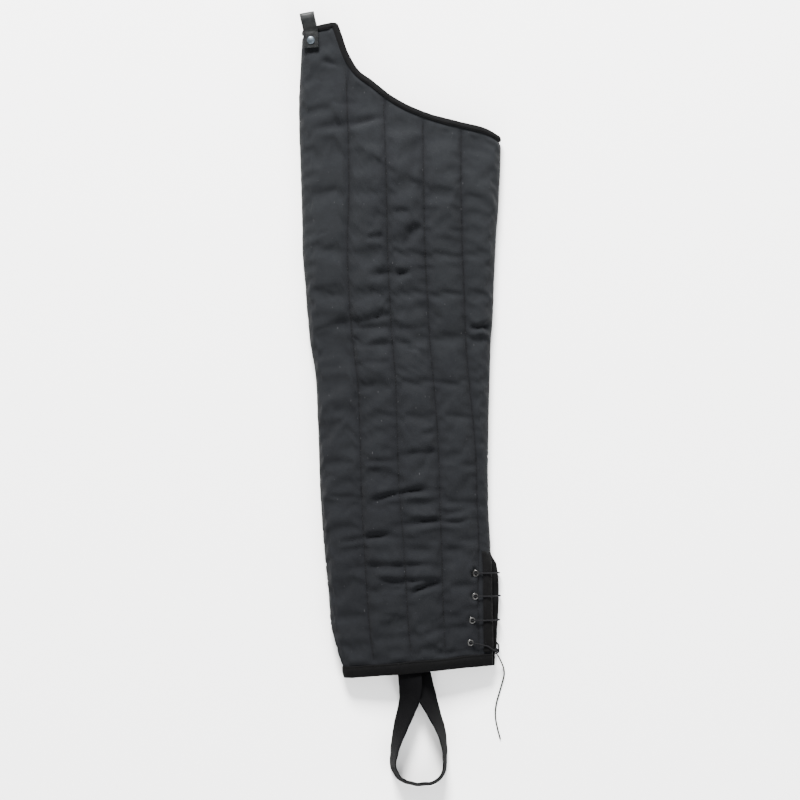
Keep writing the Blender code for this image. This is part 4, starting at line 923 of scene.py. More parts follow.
def effect(name, inputs, outputs):
    """A new shader node group with named sockets, and its short ways."""
    group = bpy.data.node_groups.new(name, "ShaderNodeTree")
    for label, kind, value in inputs:
        socket = group.interface.new_socket(label, in_out="INPUT", socket_type=kind)
        if value is not None:
            socket.default_value = value
    for label, kind in outputs:
        group.interface.new_socket(label, in_out="OUTPUT", socket_type=kind)
    nodes = Nodes(group)
    return group, nodes, nodes.add("NodeGroupInput"), nodes.add("NodeGroupOutput")


FLOAT, VECTOR = "NodeSocketFloat", "NodeSocketVector"


def weave_effect():
    """Threads over and under: two rows of rounded ridges, each seen where a checker lifts it.

    Tilt slides the weft row by row, so that 0 gives a plain weave and more gives a twill.
    """
    group, n, given, out = effect(
        "thread weave",
        [("Place", VECTOR, None), ("Pitch", FLOAT, 0.0009), ("Tilt", FLOAT, 0.0), ("Uneven", FLOAT, 0.3)],
        [("Height", FLOAT), ("Thread", FLOAT)])
    place, pitch = given.outputs["Place"], given.outputs["Pitch"]
    apart = n.add("ShaderNodeSeparateXYZ", {0: place})
    drift = n.math("MULTIPLY", n.math("SUBTRACT", n.noise(place, 160.0), 0.5), given.outputs["Uneven"])
    u = n.math("ADD", n.math("DIVIDE", apart.outputs[0], pitch), drift)
    v = n.math("ADD", n.math("DIVIDE", apart.outputs[1], pitch), drift)
    v_tilted = n.math("ADD", v, n.math("MULTIPLY", u, given.outputs["Tilt"]))
    warp = n.math("ABSOLUTE", n.math("SINE", n.math("MULTIPLY", u, math.pi)))
    weft = n.math("ABSOLUTE", n.math("SINE", n.math("MULTIPLY", v_tilted, math.pi)))
    check = n.math("MULTIPLY", n.math("SINE", n.math("MULTIPLY", u, math.pi)),
                   n.math("SINE", n.math("MULTIPLY", v_tilted, math.pi)))
    over = n.ramp(check, -0.25, 0.25)
    height = n.add("ShaderNodeMix", {0: over, 2: warp, 3: weft}).outputs[0]
    slub = n.noise(n.stretched(place, (1.0, 9.0, 1.0)), 120.0, 2.0)
    n.join(height, out.inputs["Height"])
    n.join(n.math("MULTIPLY", height, n.math("ADD", slub, 0.45)), out.inputs["Thread"])
    return group


def dust_wear_and_painted_light_effect():
    """Where cloth is paler and where dust sits: patchy wear, more on crests than in seams, and painted
    light that makes it paler towards the thigh end.
    """
    group, n, given, out = effect(
        "rubbed cloth", [("Place", VECTOR, None), ("Seam", FLOAT, 0.0), ("Fold", FLOAT, 0.0)],
        [("Pale", FLOAT), ("Lint", FLOAT)])
    place = given.outputs["Place"]
    broad = n.ramp(n.noise(place, 11.0, 4.0), 0.30, 0.75)
    fine = n.ramp(n.noise(place, 130.0, 4.0, 0.65), 0.30, 0.75)
    # Painted light: the cloth is painted paler towards +Y, the thigh end, standing in for lamp light that
    # falls off towards the hem.
    height = n.add("ShaderNodeSeparateXYZ", {0: place}).outputs[1]
    paler_share = n.ramp(height, -0.40, 0.40)
    cloud = n.math("ADD", n.math("MULTIPLY", broad, 0.32), n.math("MULTIPLY", fine, 0.22))
    cloud = n.math("ADD", cloud, n.math("MULTIPLY", paler_share, 0.46))
    crest = n.math("SUBTRACT", 1.0, n.math("ADD", given.outputs["Seam"],
                                           n.math("MAXIMUM", given.outputs["Fold"], 0.0)), clamp=True)
    pale = n.math("MULTIPLY", cloud, n.math("ADD", n.math("MULTIPLY", crest, 0.7), 0.3))
    n.join(pale, out.inputs["Pale"])
    specks = n.add("ShaderNodeTexVoronoi", {"Vector": n.stretched(place, (1.0, 0.16, 1.0)), "Scale": 330.0},
                   feature="F1")
    few = n.ramp(n.noise(place, 230.0, 1.0), 0.63, 0.70)
    lint = n.math("MULTIPLY", n.ramp(specks.outputs["Distance"], 0.20, 0.08), few)
    n.join(lint, out.inputs["Lint"])
    return group


def grain_effect():
    """Leather grain: small rounded cells with creases between them, over a soft unevenness."""
    group, n, given, out = effect(
        "leather grain", [("Place", VECTOR, None), ("Size", FLOAT, 1300.0)],
        [("Height", FLOAT), ("Pit", FLOAT)])
    place = given.outputs["Place"]
    cells = n.add("ShaderNodeTexVoronoi", {"Vector": place, "Scale": given.outputs["Size"]},
                  feature="DISTANCE_TO_EDGE")
    pebble = n.ramp(cells.outputs["Distance"], 0.02, 0.30)
    soft = n.noise(place, 260.0, 4.0)
    height = n.math("ADD", n.math("MULTIPLY", pebble, 0.6), n.math("MULTIPLY", soft, 0.6))
    n.join(height, out.inputs["Height"])
    n.join(n.math("SUBTRACT", 1.0, pebble), out.inputs["Pit"])
    return group


def scuff_effect():
    """Scratches and tarnish on metal: thin stretched noise, and cloudy patches."""
    group, n, given, out = effect("scuffed metal", [("Place", VECTOR, None)],
                                  [("Scratch", FLOAT), ("Cloud", FLOAT)])
    place = given.outputs["Place"]
    scratch = n.ramp(n.noise(n.stretched(place, (1.0, 0.08, 0.3)), 4200.0, 2.0), 0.56, 0.70)
    n.join(scratch, out.inputs["Scratch"])
    n.join(n.ramp(n.noise(place, 420.0, 4.0), 0.38, 0.66), out.inputs["Cloud"])
    return group


KEPT = {}


def effect_node(n, maker, **inputs):
    """A shader effect placed in a material. Its group is built the first time that one asks."""
    if maker not in KEPT:
        KEPT[maker] = maker()
    made = n.add("ShaderNodeGroup", node_tree=KEPT[maker])
    for label, value in inputs.items():
        n.join(value, made.inputs[label])
    return made.outputs


def shaded(name, roughness, **plain):
    """A new material with its shader, and short ways to its nodes."""
    material = bpy.data.materials.new(name)
    material.use_nodes = True
    n = Nodes(material.node_tree)
    shader = material.node_tree.nodes["Principled BSDF"]
    shader.inputs["Roughness"].default_value = roughness
    for label, value in plain.items():
        shader.inputs[label.replace("_", " ")].default_value = value
    return material, n, shader


def bump(n, shader, height, strength, distance):
    """Raises a pattern by a distance in metres, as the shader's normal."""
    made = n.add("ShaderNodeBump", {"Height": height, "Strength": strength, "Distance": distance})
    n.join(made.outputs[0], shader.inputs["Normal"])


def rgba(colour, factor=1.0):
    """A colour times a factor, with the fourth value that sockets take."""
    return tuple(min(c * factor, 1.0) for c in colour) + (1.0,)


def cloth_material(name, colour, pale, pitch, tilt, strength, seams=True, lint=0.5, sheen=0.03,
                   gloss=0.06):
    """Woven cotton: threads, wear that is paler on crests, painted light that makes it paler towards the
    thigh end, painted shade that darkens the stitch grooves, and a little lint, on the piece's UV map.
    """
    material, n, shader = shaded(name, 0.94, Sheen_Weight=sheen, Sheen_Roughness=0.5)
    shader.inputs["Specular IOR Level"].default_value = gloss
    place = n.add("ShaderNodeUVMap", uv_map="cloth").outputs[0]
    weave = effect_node(n, weave_effect, Place=place, Pitch=pitch, Tilt=tilt, Uneven=0.35)
    seam, fold = (n.mark("seam"), n.mark("fold")) if seams else (0.0, 0.0)
    object_place = n.place()
    # The paler share mixes patchy wear with painted light that makes the cloth paler towards the thigh end.
    wear_dust_and_painted_light = effect_node(n, dust_wear_and_painted_light_effect, Place=object_place, Seam=seam, Fold=fold)
    tone = n.mix(wear_dust_and_painted_light["Pale"], rgba(colour), rgba(pale))
    between = n.math("SUBTRACT", 1.0, weave["Thread"], clamp=True)
    tone = n.mix(n.math("MULTIPLY", between, 0.42), tone, rgba(colour, 0.42))
    if seams:
        # Painted shade: the cloth is painted darker at the bottom of the stitch grooves and in the eyelets'
        # bores, broken into dashes by noise.
        broken = n.ramp(n.noise(object_place, 70.0, 2.0), 0.30, 0.70, 0.05, 0.55)
        tone = n.mix(n.math("MULTIPLY", n.ramp(seam, 0.80, 1.0), broken), tone, rgba(colour, 0.35))
    tone = n.mix(n.math("MULTIPLY", wear_dust_and_painted_light["Lint"], lint), tone, (0.045, 0.045, 0.047, 1.0))
    n.join(tone, shader.inputs["Base Color"])
    bump(n, shader, weave["Height"], strength, 0.00018)
    return material


# Settings

def length_of(name, description, default):
    """A setting in metres."""
    return bpy.props.FloatProperty(name=name, description=description, default=default, min=0.0,
                                   max=0.01, unit="LENGTH", subtype="DISTANCE", precision=5)


def colour_of(name, description, default):
    """A setting that is a colour."""
    return bpy.props.FloatVectorProperty(name=name, description=description, default=default,
                                         size=3, min=0.0, max=1.0, subtype="COLOR")


class LEGGING_PG_quilting(bpy.types.PropertyGroup):
    """Sizes of the stitch lines"""
    groove: length_of("Groove", "Extra depth right on a stitch line", 0.0004)
    pucker: length_of("Pucker", "Height of the puckers beside a stitch line", 0.0015)
    stitch: length_of("Stitch", "Length of one quilting stitch", 0.0034)
    pitch: length_of("Pitch", "Distance from stitch to stitch", 0.0045)
    thread: length_of("Thread", "Radius of the quilting thread", 0.00033)


class LEGGING_PG_colours(bpy.types.PropertyGroup):
    """Colours of the materials"""
    cloth: colour_of("Cloth", "Face cloth in its folds", (0.0040, 0.0043, 0.0052))
    # The paler cloth colour is mixed in for wear and, as painted light, towards the thigh end.
    cloth_pale: colour_of("Worn_and_painted_light cloth", "Face cloth on its crests", (0.0084, 0.0092, 0.0103))
    tape: colour_of("Tape", "Binding tape", (0.0018, 0.0018, 0.0019))
    lining: colour_of("Lining", "Cloth inside the leg", (0.0060, 0.0060, 0.0068))
    webbing: colour_of("Webbing", "Strap under the foot", (0.0010, 0.0010, 0.0012))
    leather: colour_of("Leather", "Belt loop", (0.0026, 0.0031, 0.0034))
    rivet: colour_of("Rivet", "Blued steel of the rivet", (0.077, 0.091, 0.106))
    eyelet: colour_of("Eyelet", "Plating of the eyelets", (0.052, 0.051, 0.050))
    lace: colour_of("Lace", "Lace cord", (0.0042, 0.0042, 0.0048))
    floor: colour_of("Floor", "Surface that the legging lies on", (0.86, 0.86, 0.86))


class LEGGING_PG_settings(bpy.types.PropertyGroup):
    """All the settings of the legging"""
    quilting: bpy.props.PointerProperty(type=LEGGING_PG_quilting)
    colours: bpy.props.PointerProperty(type=LEGGING_PG_colours)


EYELET_NODES = [f"eyelet_{side}_{number}" for side in ("front", "back") for number in range(1, 5)]


def node_points(node):
    """The points of a solid's mesh, each once."""
    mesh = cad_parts[node].data
    points = np.empty(len(mesh.vertices) * 3)
    mesh.vertices.foreach_get("co", points)
    return np.unique(np.round(points.reshape(-1, 3), 6), axis=0)


def eyelet_place(node):
    """An eyelet's middle, its axis out of the leg, and how far it reaches either way along it."""
    points = node_points(node)
    middle = (points.min(0) + points.max(0)) / 2
    ways = np.linalg.eigh(np.cov((points - points.mean(0)).T))[1]
    axis = ways[:, np.argmax(np.abs(ways[2]))]
    axis = axis * np.sign(axis[2]) * (1 if "front" in node else -1)
    reach = (points - middle) @ axis
    return middle, axis, reach.min(), reach.max()


def the_shell():
    """The leg's surface, worked out once for all the pieces that lie on it."""
    if "shell" not in KEPT:
        shell = Shell()
        swell = swollen(shell)
        shell.quilt(bpy.context.scene.legging.quilting, swell)
        for grid in (shell.outer, shell.lining):
            grid += SHIFT
        for node in EYELET_NODES:
            shell.press(*eyelet_place(node))
        KEPT["shell"] = shell
    return KEPT["shell"]


def leather_material(name, colour):
    """Dyed leather: pebbled grain, darker pits, paler patches of wear, darker edges and crease line, and a
    waxed shine.
    """
    material, n, shader = shaded(name, 0.48)
    shader.inputs["Specular IOR Level"].default_value = 0.16
    place = n.place()
    grain = effect_node(n, grain_effect, Place=place, Size=1300.0)
    paler_share = n.ramp(n.noise(place, 170.0, 4.0), 0.42, 0.70)
    tone = n.mix(paler_share, rgba(colour), rgba(colour, 1.65))
    tone = n.mix(n.math("MULTIPLY", grain["Pit"], 0.6), tone, rgba(colour, 0.45))
    tone = n.mix(n.math("MULTIPLY", n.mark("rim"), 0.75), tone, rgba(colour, 0.40))
    n.join(tone, shader.inputs["Base Color"])
    n.join(n.ramp(paler_share, 0.0, 1.0, 0.40, 0.60), shader.inputs["Roughness"])
    bump(n, shader, grain["Height"], 0.45, 0.00022)
    return material


def metal_material(name, colour, roughness, tarnish):
    """Plated metal: fine scratches, and cloudy tarnish that darkens and dulls it."""
    material, n, shader = shaded(name, roughness, Metallic=1.0)
    scuff = effect_node(n, scuff_effect, Place=n.place())
    tone = n.mix(n.math("MULTIPLY", scuff["Cloud"], 0.7), rgba(colour), rgba(colour, tarnish))
    tone = n.mix(n.math("MULTIPLY", scuff["Scratch"], 0.4), tone, rgba(colour, 1.35))
    n.join(tone, shader.inputs["Base Color"])
    dulled = n.ramp(scuff["Cloud"], 0.0, 1.0, roughness, roughness + 0.22)
    n.join(dulled, shader.inputs["Roughness"])
    bump(n, shader, scuff["Scratch"], 0.15, 0.00004)
    return material


def thread_of(name, colour, paler, pitch, tilt, strength, lint, **finish):
    """Cloth of one dyed thread, with no seams: its paler tone, for wear and for painted light towards the
    thigh end, is its own colour made paler.
    """
    return cloth_material(name, colour, [v * paler for v in colour], pitch, tilt, strength, False, lint,
                          **finish)


def the_material(key):
    """A finish, made the first time that a piece asks for it."""
    if key in KEPT:
        return KEPT[key]
    c = bpy.context.scene.legging.colours
    if key == "charcoal cotton":
        made = cloth_material(key, c.cloth, c.cloth_pale, 0.00085, 0.0, 0.55, sheen=0.015)
    elif key == "lining cotton":
        made = thread_of(key, c.lining, 1.0, 0.00070, 0.0, 0.45, 0.2)
    elif key == "twill tape":
        made = thread_of(key, c.tape, 2.6, 0.00075, 0.5, 0.60, 0.25, sheen=0.01, gloss=0.03)
    elif key == "strap webbing":
        made = thread_of(key, c.webbing, 1.7, 0.00150, 1.0, 0.75, 0.3, sheen=0.01, gloss=0.03)
    elif key == "sewing thread":
        made = thread_of(key, c.tape, 1.4, 0.00030, 0.0, 0.3, 0.0)
    elif key == "laid cord":
        made = thread_of(key, c.lace, 1.8, 0.00045, 0.8, 0.5, 0.1, sheen=0.02)
    elif key == "loop leather":
        made = leather_material(key, c.leather)
    elif key == "blued steel":
        made = metal_material(key, c.rivet, 0.34, 0.62)
    else:
        made = metal_material(key, c.eyelet, 0.26, 0.70)
    KEPT[key] = made
    return made


# Pieces

class LEGGING_OT_stage(bpy.types.Operator):
    """Adds the pale floor, the soft lights and the camera straight above"""
    bl_idname = "legging.stage"
    bl_label = "Stage"

    def execute(self, context):
        material, n, shader = shaded("pale floor", 0.85)
        shader.inputs["Specular IOR Level"].default_value = 0.2
        colour = context.scene.legging.colours.floor
        cloud = n.noise(n.place(), 3.0, 3.0)
        n.join(n.mix(cloud, rgba(colour, 0.985), rgba(colour)), shader.inputs["Base Color"])
        corners = np.array([[(x * FLOOR_REACH, y * FLOOR_REACH, -FLOOR_DROP) for x in (1, -1)]
                            for y in (-1, 1)])
        grid_piece("floor", corners, material)
        for name, where, size, power, colour in (
                ("key_light", (-0.6, 4.6, 3.0), 1.7, 2300.0, (1.0, 0.99, 0.98)),
                ("fill_light", (2.6, -2.2, 3.4), 3.0, 240.0, (0.98, 0.99, 1.0)),
                ("low_light", (-1.4, -3.8, 2.6), 2.0, 180.0, (1.0, 1.0, 1.0))):
            data = bpy.data.lights.new(name, "AREA")
            data.energy, data.size, data.color = power, size, colour
            light = bpy.data.objects.new(name, data)
            light.location = where
            aim = -np.array(where)
            light.rotation_euler = (math.atan2(math.hypot(aim[0], aim[1]), -aim[2]), 0,
                                    math.atan2(aim[1], aim[0]) - math.pi / 2)
            context.collection.objects.link(light)
        world = context.scene.world or bpy.data.worlds.new("studio")
        context.scene.world = world
        world.use_nodes = True
        sky = world.node_tree.nodes["Background"].inputs
        sky["Color"].default_value = (1.0, 1.0, 1.0, 1.0)
        sky["Strength"].default_value = 1.1
        data = bpy.data.cameras.new("camera")
        data.sensor_width = SENSOR
        data.lens = SENSOR * CAMERA_HEIGHT / VIEW_WIDTH
        data.clip_end = 10 * CAMERA_HEIGHT
        camera = bpy.data.objects.new("camera", data)
        camera.location = (0.0, VIEW_MIDDLE + SHIFT[1], CAMERA_HEIGHT)
        context.collection.objects.link(camera)
        context.scene.camera = camera
        return {"FINISHED"}


class LEGGING_OT_lace(bpy.types.Operator):
    """Adds the lace down the vent, its knot, its other end and its free end"""
    bl_idname = "legging.lace"
    bl_label = "Lace"

    def execute(self, context):
        cord = the_material("laid cord")
        path = even_path(placed(FREE_ROUTE), CORD_STEP)
        free = hold(laid_cord("free_lace_end", path, cord, LACE_RADIUS), "lace_cord", "lace_end")
        for name, route, node in (("held_lace", LACE_ROUTE, "lace"),
                                  ("lace_tail", UNDER_ROUTE, "lace_under")):
            path = even_path(placed(route), CORD_STEP)
            hold(laid_cord(name, path, cord, LACE_RADIUS), "lace_cord", node)
        centre = np.array(KNOT_PLACE) / 1000 + SHIFT
        knot = laid_cord("tied_knot", knot_path(centre, KNOT_SIZE), cord, LACE_RADIUS * 0.95, closed=True)
        hold(knot, "lace_cord", "lace_knot")
        return {"FINISHED"}


class LEGGING_OT_shell(bpy.types.Operator):
    """Adds the quilted tube of the leg, cloth outside and lining inside"""
    bl_idname = "legging.shell"
    bl_label = "Quilted shell"

    def execute(self, context):
        shell = the_shell()
        rows, columns = shell.rows, len(shell.lane)
        inner_rows = np.unique(np.concatenate([
            np.arange(0, EDGE_ROWS + 1), np.arange(EDGE_ROWS, shell.vent_row, 8),
            np.arange(shell.vent_row, rows)]))
        number = np.arange(rows * columns).reshape(rows, columns)
        number[: shell.vent_row + 1, -1] = number[: shell.vent_row + 1, 0]
        place_in = rows * columns + np.arange(rows * columns).reshape(rows, columns)
        place_in[: shell.vent_row + 1, -1] = place_in[: shell.vent_row + 1, 0]
        cells = grid_quads(rows, columns)
        skin = number[cells[..., 0], cells[..., 1]]
        cells_in = grid_quads(len(inner_rows), columns)[:, ::-1]
        rows_in = inner_rows[cells_in[..., 0]]
        inside = place_in[rows_in, cells_in[..., 1]]
        k = np.arange(columns - 1)
        j = np.arange(shell.vent_row, rows - 1)
        last = columns - 1
        rims = [
            np.stack([number[0, k], number[0, k + 1], place_in[0, k + 1], place_in[0, k]], -1),
            np.stack([number[-1, k + 1], number[-1, k], place_in[-1, k], place_in[-1, k + 1]], -1),
            np.stack([number[j + 1, 0], number[j, 0], place_in[j, 0], place_in[j + 1, 0]], -1),
            np.stack([number[j, last], number[j + 1, last], place_in[j + 1, last], place_in[j, last]], -1),
        ]
        quads = np.concatenate([skin, inside] + rims)
        points = np.concatenate([shell.outer.reshape(-1, 3), shell.lining.reshape(-1, 3)])
        sign = np.where(shell.back > 0, -1.0, 1.0)
        u = shell.x * sign
        flat = np.stack([u, shell.y], -1)
        corner_uv = np.concatenate([
            flat[cells[..., 0], cells[..., 1]], flat[rows_in, cells_in[..., 1]],
            np.zeros((sum(len(r) for r in rims), 4, 2))])
        used = np.unique(quads)
        renumber = np.zeros(len(points), dtype=int)
        renumber[used] = np.arange(len(used))
        marks = {"seam": np.concatenate([shell.seam.ravel(), 0 * shell.seam.ravel()])[used],
                 "fold": np.concatenate([shell.fold.ravel(), 0 * shell.fold.ravel()])[used]}
        mesh = quads_mesh("quilted_shell", points[used], renumber[quads], corner_uv, marks)
        piece = finished("quilted_shell", mesh, the_material("charcoal cotton"))
        mesh.materials.append(the_material("lining cotton"))
        which = np.zeros(len(quads), dtype=np.int32)
        which[len(skin): len(skin) + len(inside)] = 1
        mesh.polygons.foreach_set("material_index", which)
        hold(piece, "quilted_cotton", "quilted_leg")
        return {"FINISHED"}


class LEGGING_OT_stitching(bpy.types.Operator):
    """Adds the quilting stitches along each channel, front and back"""
    bl_idname = "legging.stitching"
    bl_label = "Quilting stitches"

    def execute(self, context):
        shell = the_shell()
        sizes = context.scene.legging.quilting
        low, high = shell.tape_rows
        for name, sheet in (("front_stitching", 0), ("back_stitching", 1)):
            rows = []
            for line in LINES:
                on_line = (np.abs(shell.lane - line) < 1e-9) & (shell.back == sheet)
                place = (slice(low + 3, high - 2), int(np.flatnonzero(on_line)[0]))
                rows.append(stitch_row(shell.outer[place], shell.normal[place], sizes.pitch, sizes.stitch))
            piece = stitch_piece(name, rows, the_material("sewing thread"), sizes.stitch, sizes.thread)
            hold(piece, "quilted_cotton")
        return {"FINISHED"}


class LEGGING_OT_bindings(bpy.types.Operator):
    """Adds the folded tapes on the top edge, the hem and the vent, with their stitches"""
    bl_idname = "legging.bindings"
    bl_label = "Bindings"

    def execute(self, context):
        shell = the_shell()
        low, high = shell.tape_rows
        last_row, last = shell.rows - 1, len(shell.lane) - 1
        seams = []

        def bind(name, node, inner, edge, face, seed, closed=False):
            """Folds a tape over an edge, from the cloth at inner round the edge to its other side."""
            up, down = shell.normal[face], -shell.inward[face]
            rings, run, seam = tape_rings(shell.outer[inner], shell.outer[edge], shell.lining[inner],
                                          shell.lining[edge], up, down, seed)
            hold(tape_piece(name, rings, run, the_material("twill tape"), closed), "binding_tape", node)
            seams.append(stitch_row(seam, up, TAPE_PITCH, TAPE_STITCH))

        across = np.arange(last)
        bind("top_edge_tape", "top_binding", (low, across), (0, across), (low // 2, across), 31, True)
        across = np.arange(last + 1)
        bind("hem_tape", "hem_binding", (high, across), (last_row, across),
             ((high + last_row) // 2, across), 41)
        rows = np.arange(shell.vent_row + 3, high)
        front, back = (rows, last - FRONT_COUNTS[-1]), (rows, BACK_COUNTS[-1])
        bind("vent_tape_front", "vent_binding_front", front, (rows, last), front, 51)
        bind("vent_tape_back", "vent_binding_back", back, (rows, 0), back, 61)
        piece = stitch_piece("tape_stitching", seams, the_material("sewing thread"), TAPE_STITCH,
                             TAPE_THREAD)
        hold(piece, "binding_tape")
        return {"FINISHED"}


class LEGGING_OT_eyelets(bpy.types.Operator):
    """Adds the eight rolled metal eyelets beside the vent"""
    bl_idname = "legging.eyelets"
    bl_label = "Eyelets"

    def execute(self, context):
        for node in EYELET_NODES:
            middle, axis, low, high = eyelet_place(node)
            piece = turned_piece(node.replace("eyelet", "rolled_eyelet"), eyelet_profile(low, high),
                                 middle, axis, the_material("nickel plate"))
            hold(piece, "nickel", node)
        return {"FINISHED"}


def eyelet_profile(low, high):
    """A rolled flange on top, a barrel through the wall and a flat flange behind, as a loop."""
    bore, rim = EYELET_BORE, EYELET_RADIUS
    profile = [(bore, low + 0.0004)]
    for t in np.linspace(0.15, 1, 5):
        profile.append((bore + (rim - bore) * t, low + 0.0004 - 0.0004 * math.sin(math.pi * t)))
    profile += [(rim, low + 0.0008), (bore + 0.0007, low + 0.0011), (bore + 0.0006, (low + high) / 2),
                (bore + 0.0007, high - 0.0011), (rim, high - 0.0010)]
    for t in np.linspace(0, math.pi, 11):
        middle, half = (bore + rim) / 2, (rim - bore) / 2
        profile.append((middle + half * math.cos(t), high - 0.0007 + 0.0007 * math.sin(t) ** 0.8))
    profile += [(bore, high - 0.0014), (bore, (low + high) / 2)]
    return profile


def strap_table():
    """The strap's middle line and the vector to its upper edge, row by row.

    It leaves the front sheet's inside, comes down to the floor as it drops, and rises to the
    back sheet's inside. Its lower edge rests on the floor, and its upper edge leans inwards.
    """
    aside, drop, tilt = np.array(STRAP).T
    tilt = np.radians(tilt)
    first = np.arange(len(aside)) <= len(aside) // 2
    held = np.where(first, STRAP_FRONT_Z, STRAP_BACK_Z)
    free = 0.0002 + STRAP_HALF * np.sin(tilt) + STRAP_THICK / 2 * np.cos(tilt)
    z = np.where(drop > 0, np.maximum(free + held * (1 - ease(drop / 0.36)), free), held)
    line = np.stack([STRAP_MIDDLE + aside * STRAP_SPREAD, STRAP_TOP - drop * STRAP_DROP, z], -1)
    across = np.gradient(line, axis=0)
    level = unit(np.stack([-across[:, 1], across[:, 0]], -1)) * np.cos(tilt)[:, None]
    return np.concatenate([line, level, np.sin(tilt)[:, None]], -1)


class LEGGING_OT_stirrup(bpy.types.Operator):
    """Adds the webbing strap under the foot"""
    bl_idname = "legging.stirrup"
    bl_label = "Stirrup strap"

    def execute(self, context):
        table = strap_table()
        marks = run_along(table[:, :3])
        at = np.linspace(0, marks[-1], 300)
        rows = through_rows(marks, table, at)
        path, side = rows[:, :3] + SHIFT, unit(rows[:, 3:])
        tangent = unit(np.gradient(path, axis=0))
        side = unit(side - tangent * np.sum(side * tangent, -1, keepdims=True))
        face = np.cross(tangent, side)
        angle = circle(36)
        wide = np.sign(np.cos(angle)) * np.abs(np.cos(angle)) ** 0.32
        thick = np.sign(np.sin(angle)) * np.abs(np.sin(angle)) ** 0.55
        thick = thick * (0.92 + 0.08 * np.cos(wide * 9))
        loose = ease((at - 0.09) / 0.05) * ease((marks[-1] - 0.09 - at) / 0.05)
        kink = 0.0009 * rumple(at, 0 * at, 0.009, 1, 71) * loose
        curl = 0.0007 * wide[None, :] ** 2 * rumple(at, 0 * at, 0.013, 1, 72)[:, None]
        rings = (path[:, None] + side[:, None] * (wide * STRAP_HALF)[None, :, None]
                 + face[:, None] * ((thick * STRAP_THICK / 2)[None, :] + kink[:, None] + curl)[..., None])
        girth = np.append(wide * STRAP_HALF, wide[0] * STRAP_HALF)
        piece = tube_piece("foot_strap", rings, the_material("strap webbing"), (at, girth))
        hold(piece, "webbing", "stirrup_strap")
        return {"FINISHED"}


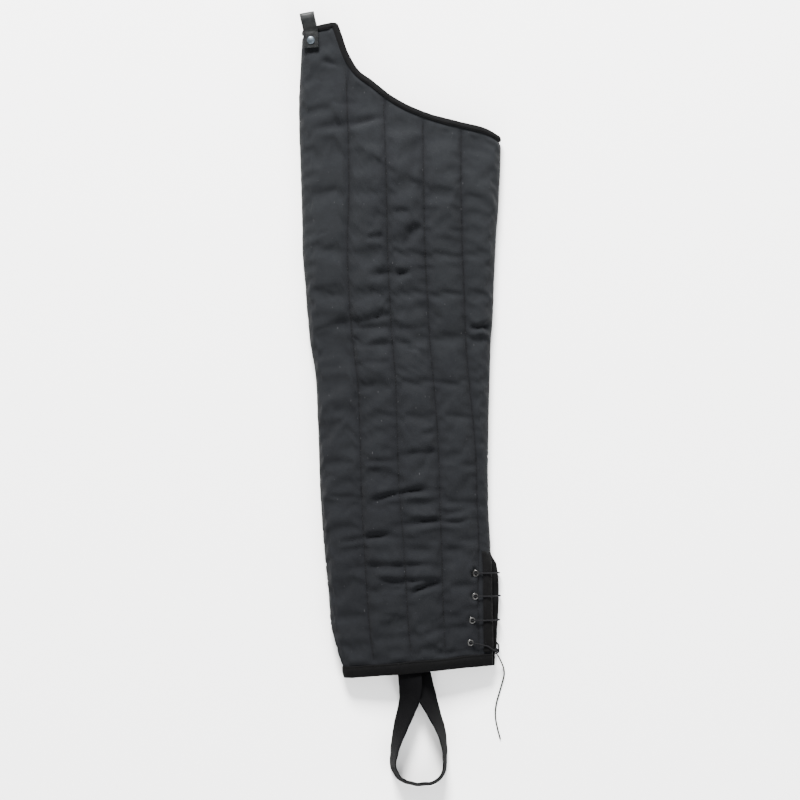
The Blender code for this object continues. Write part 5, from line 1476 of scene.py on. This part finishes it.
class LEGGING_OT_belt_loop(bpy.types.Operator):
    """Adds the folded leather loop and its domed rivet"""
    bl_idname = "legging.belt_loop"
    bl_label = "Belt loop"

    def execute(self, context):
        low, high = (np.array(c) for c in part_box("belt_loop"))
        base = low[2] + 0.0002 + LOOP_THICK / 2
        lap, rise = LOOP_THICK + 0.0003, (LOOP_OPENING + LOOP_THICK) / 2
        route = [(-LOOP_LAP, 0.0), (-LOOP_LAP * 0.75, 0.0), (-LOOP_LAP * 0.5, 0.0), (-LOOP_LAP * 0.25, 0.0),
                 (-0.001, 0.0), (0.004, -0.0002)]
        for n in range(9):
            angle = -math.pi / 2 + math.pi * n / 8
            route.append((LOOP_REACH - rise + rise * math.cos(angle), rise + rise * math.sin(angle)))
        route += [(0.006, 2 * rise * 0.93), (0.002, 2 * rise * 0.62 + lap * 0.3), (-0.0035, lap),
                  (-LOOP_LAP * 0.3, lap), (-LOOP_LAP * 0.5, lap), (-LOOP_LAP * 0.75, lap), (-LOOP_LAP, lap)]
        route = np.array(route)
        c, s = math.cos(LOOP_TURN), math.sin(LOOP_TURN)
        reach_y = LOOP_REACH + LOOP_THICK / 2
        edge_y = high[1] - reach_y * c - LOOP_WIDTH / 2 * s
        middle_x = low[0] + LOOP_WIDTH / 2 * c + reach_y * s
        marks = run_along(route)
        at = np.linspace(0, marks[-1], 150)
        y, z = through_rows(marks, route, at).T
        lean = LOOP_LEAN * ease((y + 0.008) / 0.022)
        bent = np.maximum(y + 0.008, 0) * np.sin(lean)
        path = np.stack([middle_x - y * s - bent, edge_y + y * c, base + z], -1)
        side = np.stack([np.cos(LOOP_TURN + lean), np.sin(LOOP_TURN + lean), 0 * lean], -1)
        tangent = unit(np.gradient(path, axis=0))
        face = unit(np.cross(side, tangent))
        outline = [(1, -0.55), (1, 0.55), (0.985, 0.86), (0.955, 1), (0.86, 1), (0.835, 0.86), (0.80, 0.80),
                   (0.765, 0.86), (0.74, 1), (0.5, 1.03), (0.25, 1.05), (0, 1.06)]
        outline += [(-u, v) for u, v in outline[-2::-1]]
        outline += [(u, -abs(v) if abs(v) < 1 else -1) for u, v in
                    ((-0.985, 0.86), (-0.955, 1), (-0.5, 1), (0, 1), (0.5, 1), (0.955, 1), (0.985, 0.86))]
        outline = np.array(outline)
        wide, thick = outline[:, 0] * LOOP_WIDTH / 2, outline[:, 1] * LOOP_THICK / 2
        rings = path[:, None] + side[:, None] * wide[None, :, None] - face[:, None] * thick[None, :, None]
        girth = np.append(wide, wide[0])
        piece = tube_piece("leather_loop", rings, the_material("loop leather"), (at, girth), sharp=60)
        mark = piece.data.attributes.new("rim", "FLOAT", "POINT")
        rim = np.repeat(((np.abs(outline[:, 0]) > 0.96) | (np.abs(np.abs(outline[:, 0]) - 0.80) < 0.02))
                        [None].astype(float), len(path), 0).ravel()
        mark.data.foreach_set("value", np.append(rim, [1.0, 1.0]).astype(np.float32))
        hold(piece, "leather", "belt_loop")
        points = node_points("loop_rivet")
        middle = (points.min(0) + points.max(0)) / 2
        bottom, top = points[:, 2].min(), points[:, 2].max()
        head = top - 0.0022
        profile = [(0.0001, bottom), (0.0034, bottom), (0.0036, bottom + 0.0003), (0.0036, bottom + 0.0010),
                   (0.0020, bottom + 0.0010), (0.0020, head), (RIVET_HEAD - 0.0002, head),
                   (RIVET_HEAD, head + 0.0002), (RIVET_HEAD, head + 0.0005)]
        for t in np.linspace(0.1, 1, 12):
            profile.append((max(RIVET_HEAD * math.cos(t * math.pi / 2), 0.0001),
                            head + 0.0005 + 0.0017 * math.sin(t * math.pi / 2)))
        piece = turned_piece("domed_rivet", profile, np.array([middle[0], middle[1], 0.0]), (0, 0, 1),
                             the_material("blued steel"), 48)
        hold(piece, "blued_steel", "loop_rivet")
        return {"FINISHED"}


OPERATORS = (LEGGING_OT_stage, LEGGING_OT_lace, LEGGING_OT_shell, LEGGING_OT_stitching,
             LEGGING_OT_bindings, LEGGING_OT_eyelets, LEGGING_OT_stirrup, LEGGING_OT_belt_loop)


class LEGGING_PT_pieces(bpy.types.Panel):
    """Lists the stitch sizes, the colours and a button for each piece"""
    bl_label = "Padded legging"
    bl_space_type = "VIEW_3D"
    bl_region_type = "UI"
    bl_category = "Legging"

    def draw(self, context):
        settings = context.scene.legging
        for group in (settings.quilting, settings.colours):
            box = self.layout.box()
            for key in group.__annotations__:
                box.prop(group, key)
        for operator in OPERATORS:
            self.layout.operator(operator.bl_idname)


CLASSES = (LEGGING_PG_quilting, LEGGING_PG_colours, LEGGING_PG_settings) + OPERATORS + (LEGGING_PT_pieces,)


def register():
    """Makes the settings, operators and panel known to Blender."""
    for made in CLASSES:
        bpy.utils.register_class(made)
    bpy.types.Scene.legging = bpy.props.PointerProperty(type=LEGGING_PG_settings)


def unregister():
    """Takes them out again."""
    del bpy.types.Scene.legging
    for made in reversed(CLASSES):
        bpy.utils.unregister_class(made)


def main():
    """Builds every piece in turn."""
    register()
    for operator in OPERATORS:
        group, name = operator.bl_idname.split(".")
        getattr(getattr(bpy.ops, group), name)()
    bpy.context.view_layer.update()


if __name__ == "__main__":
    main()
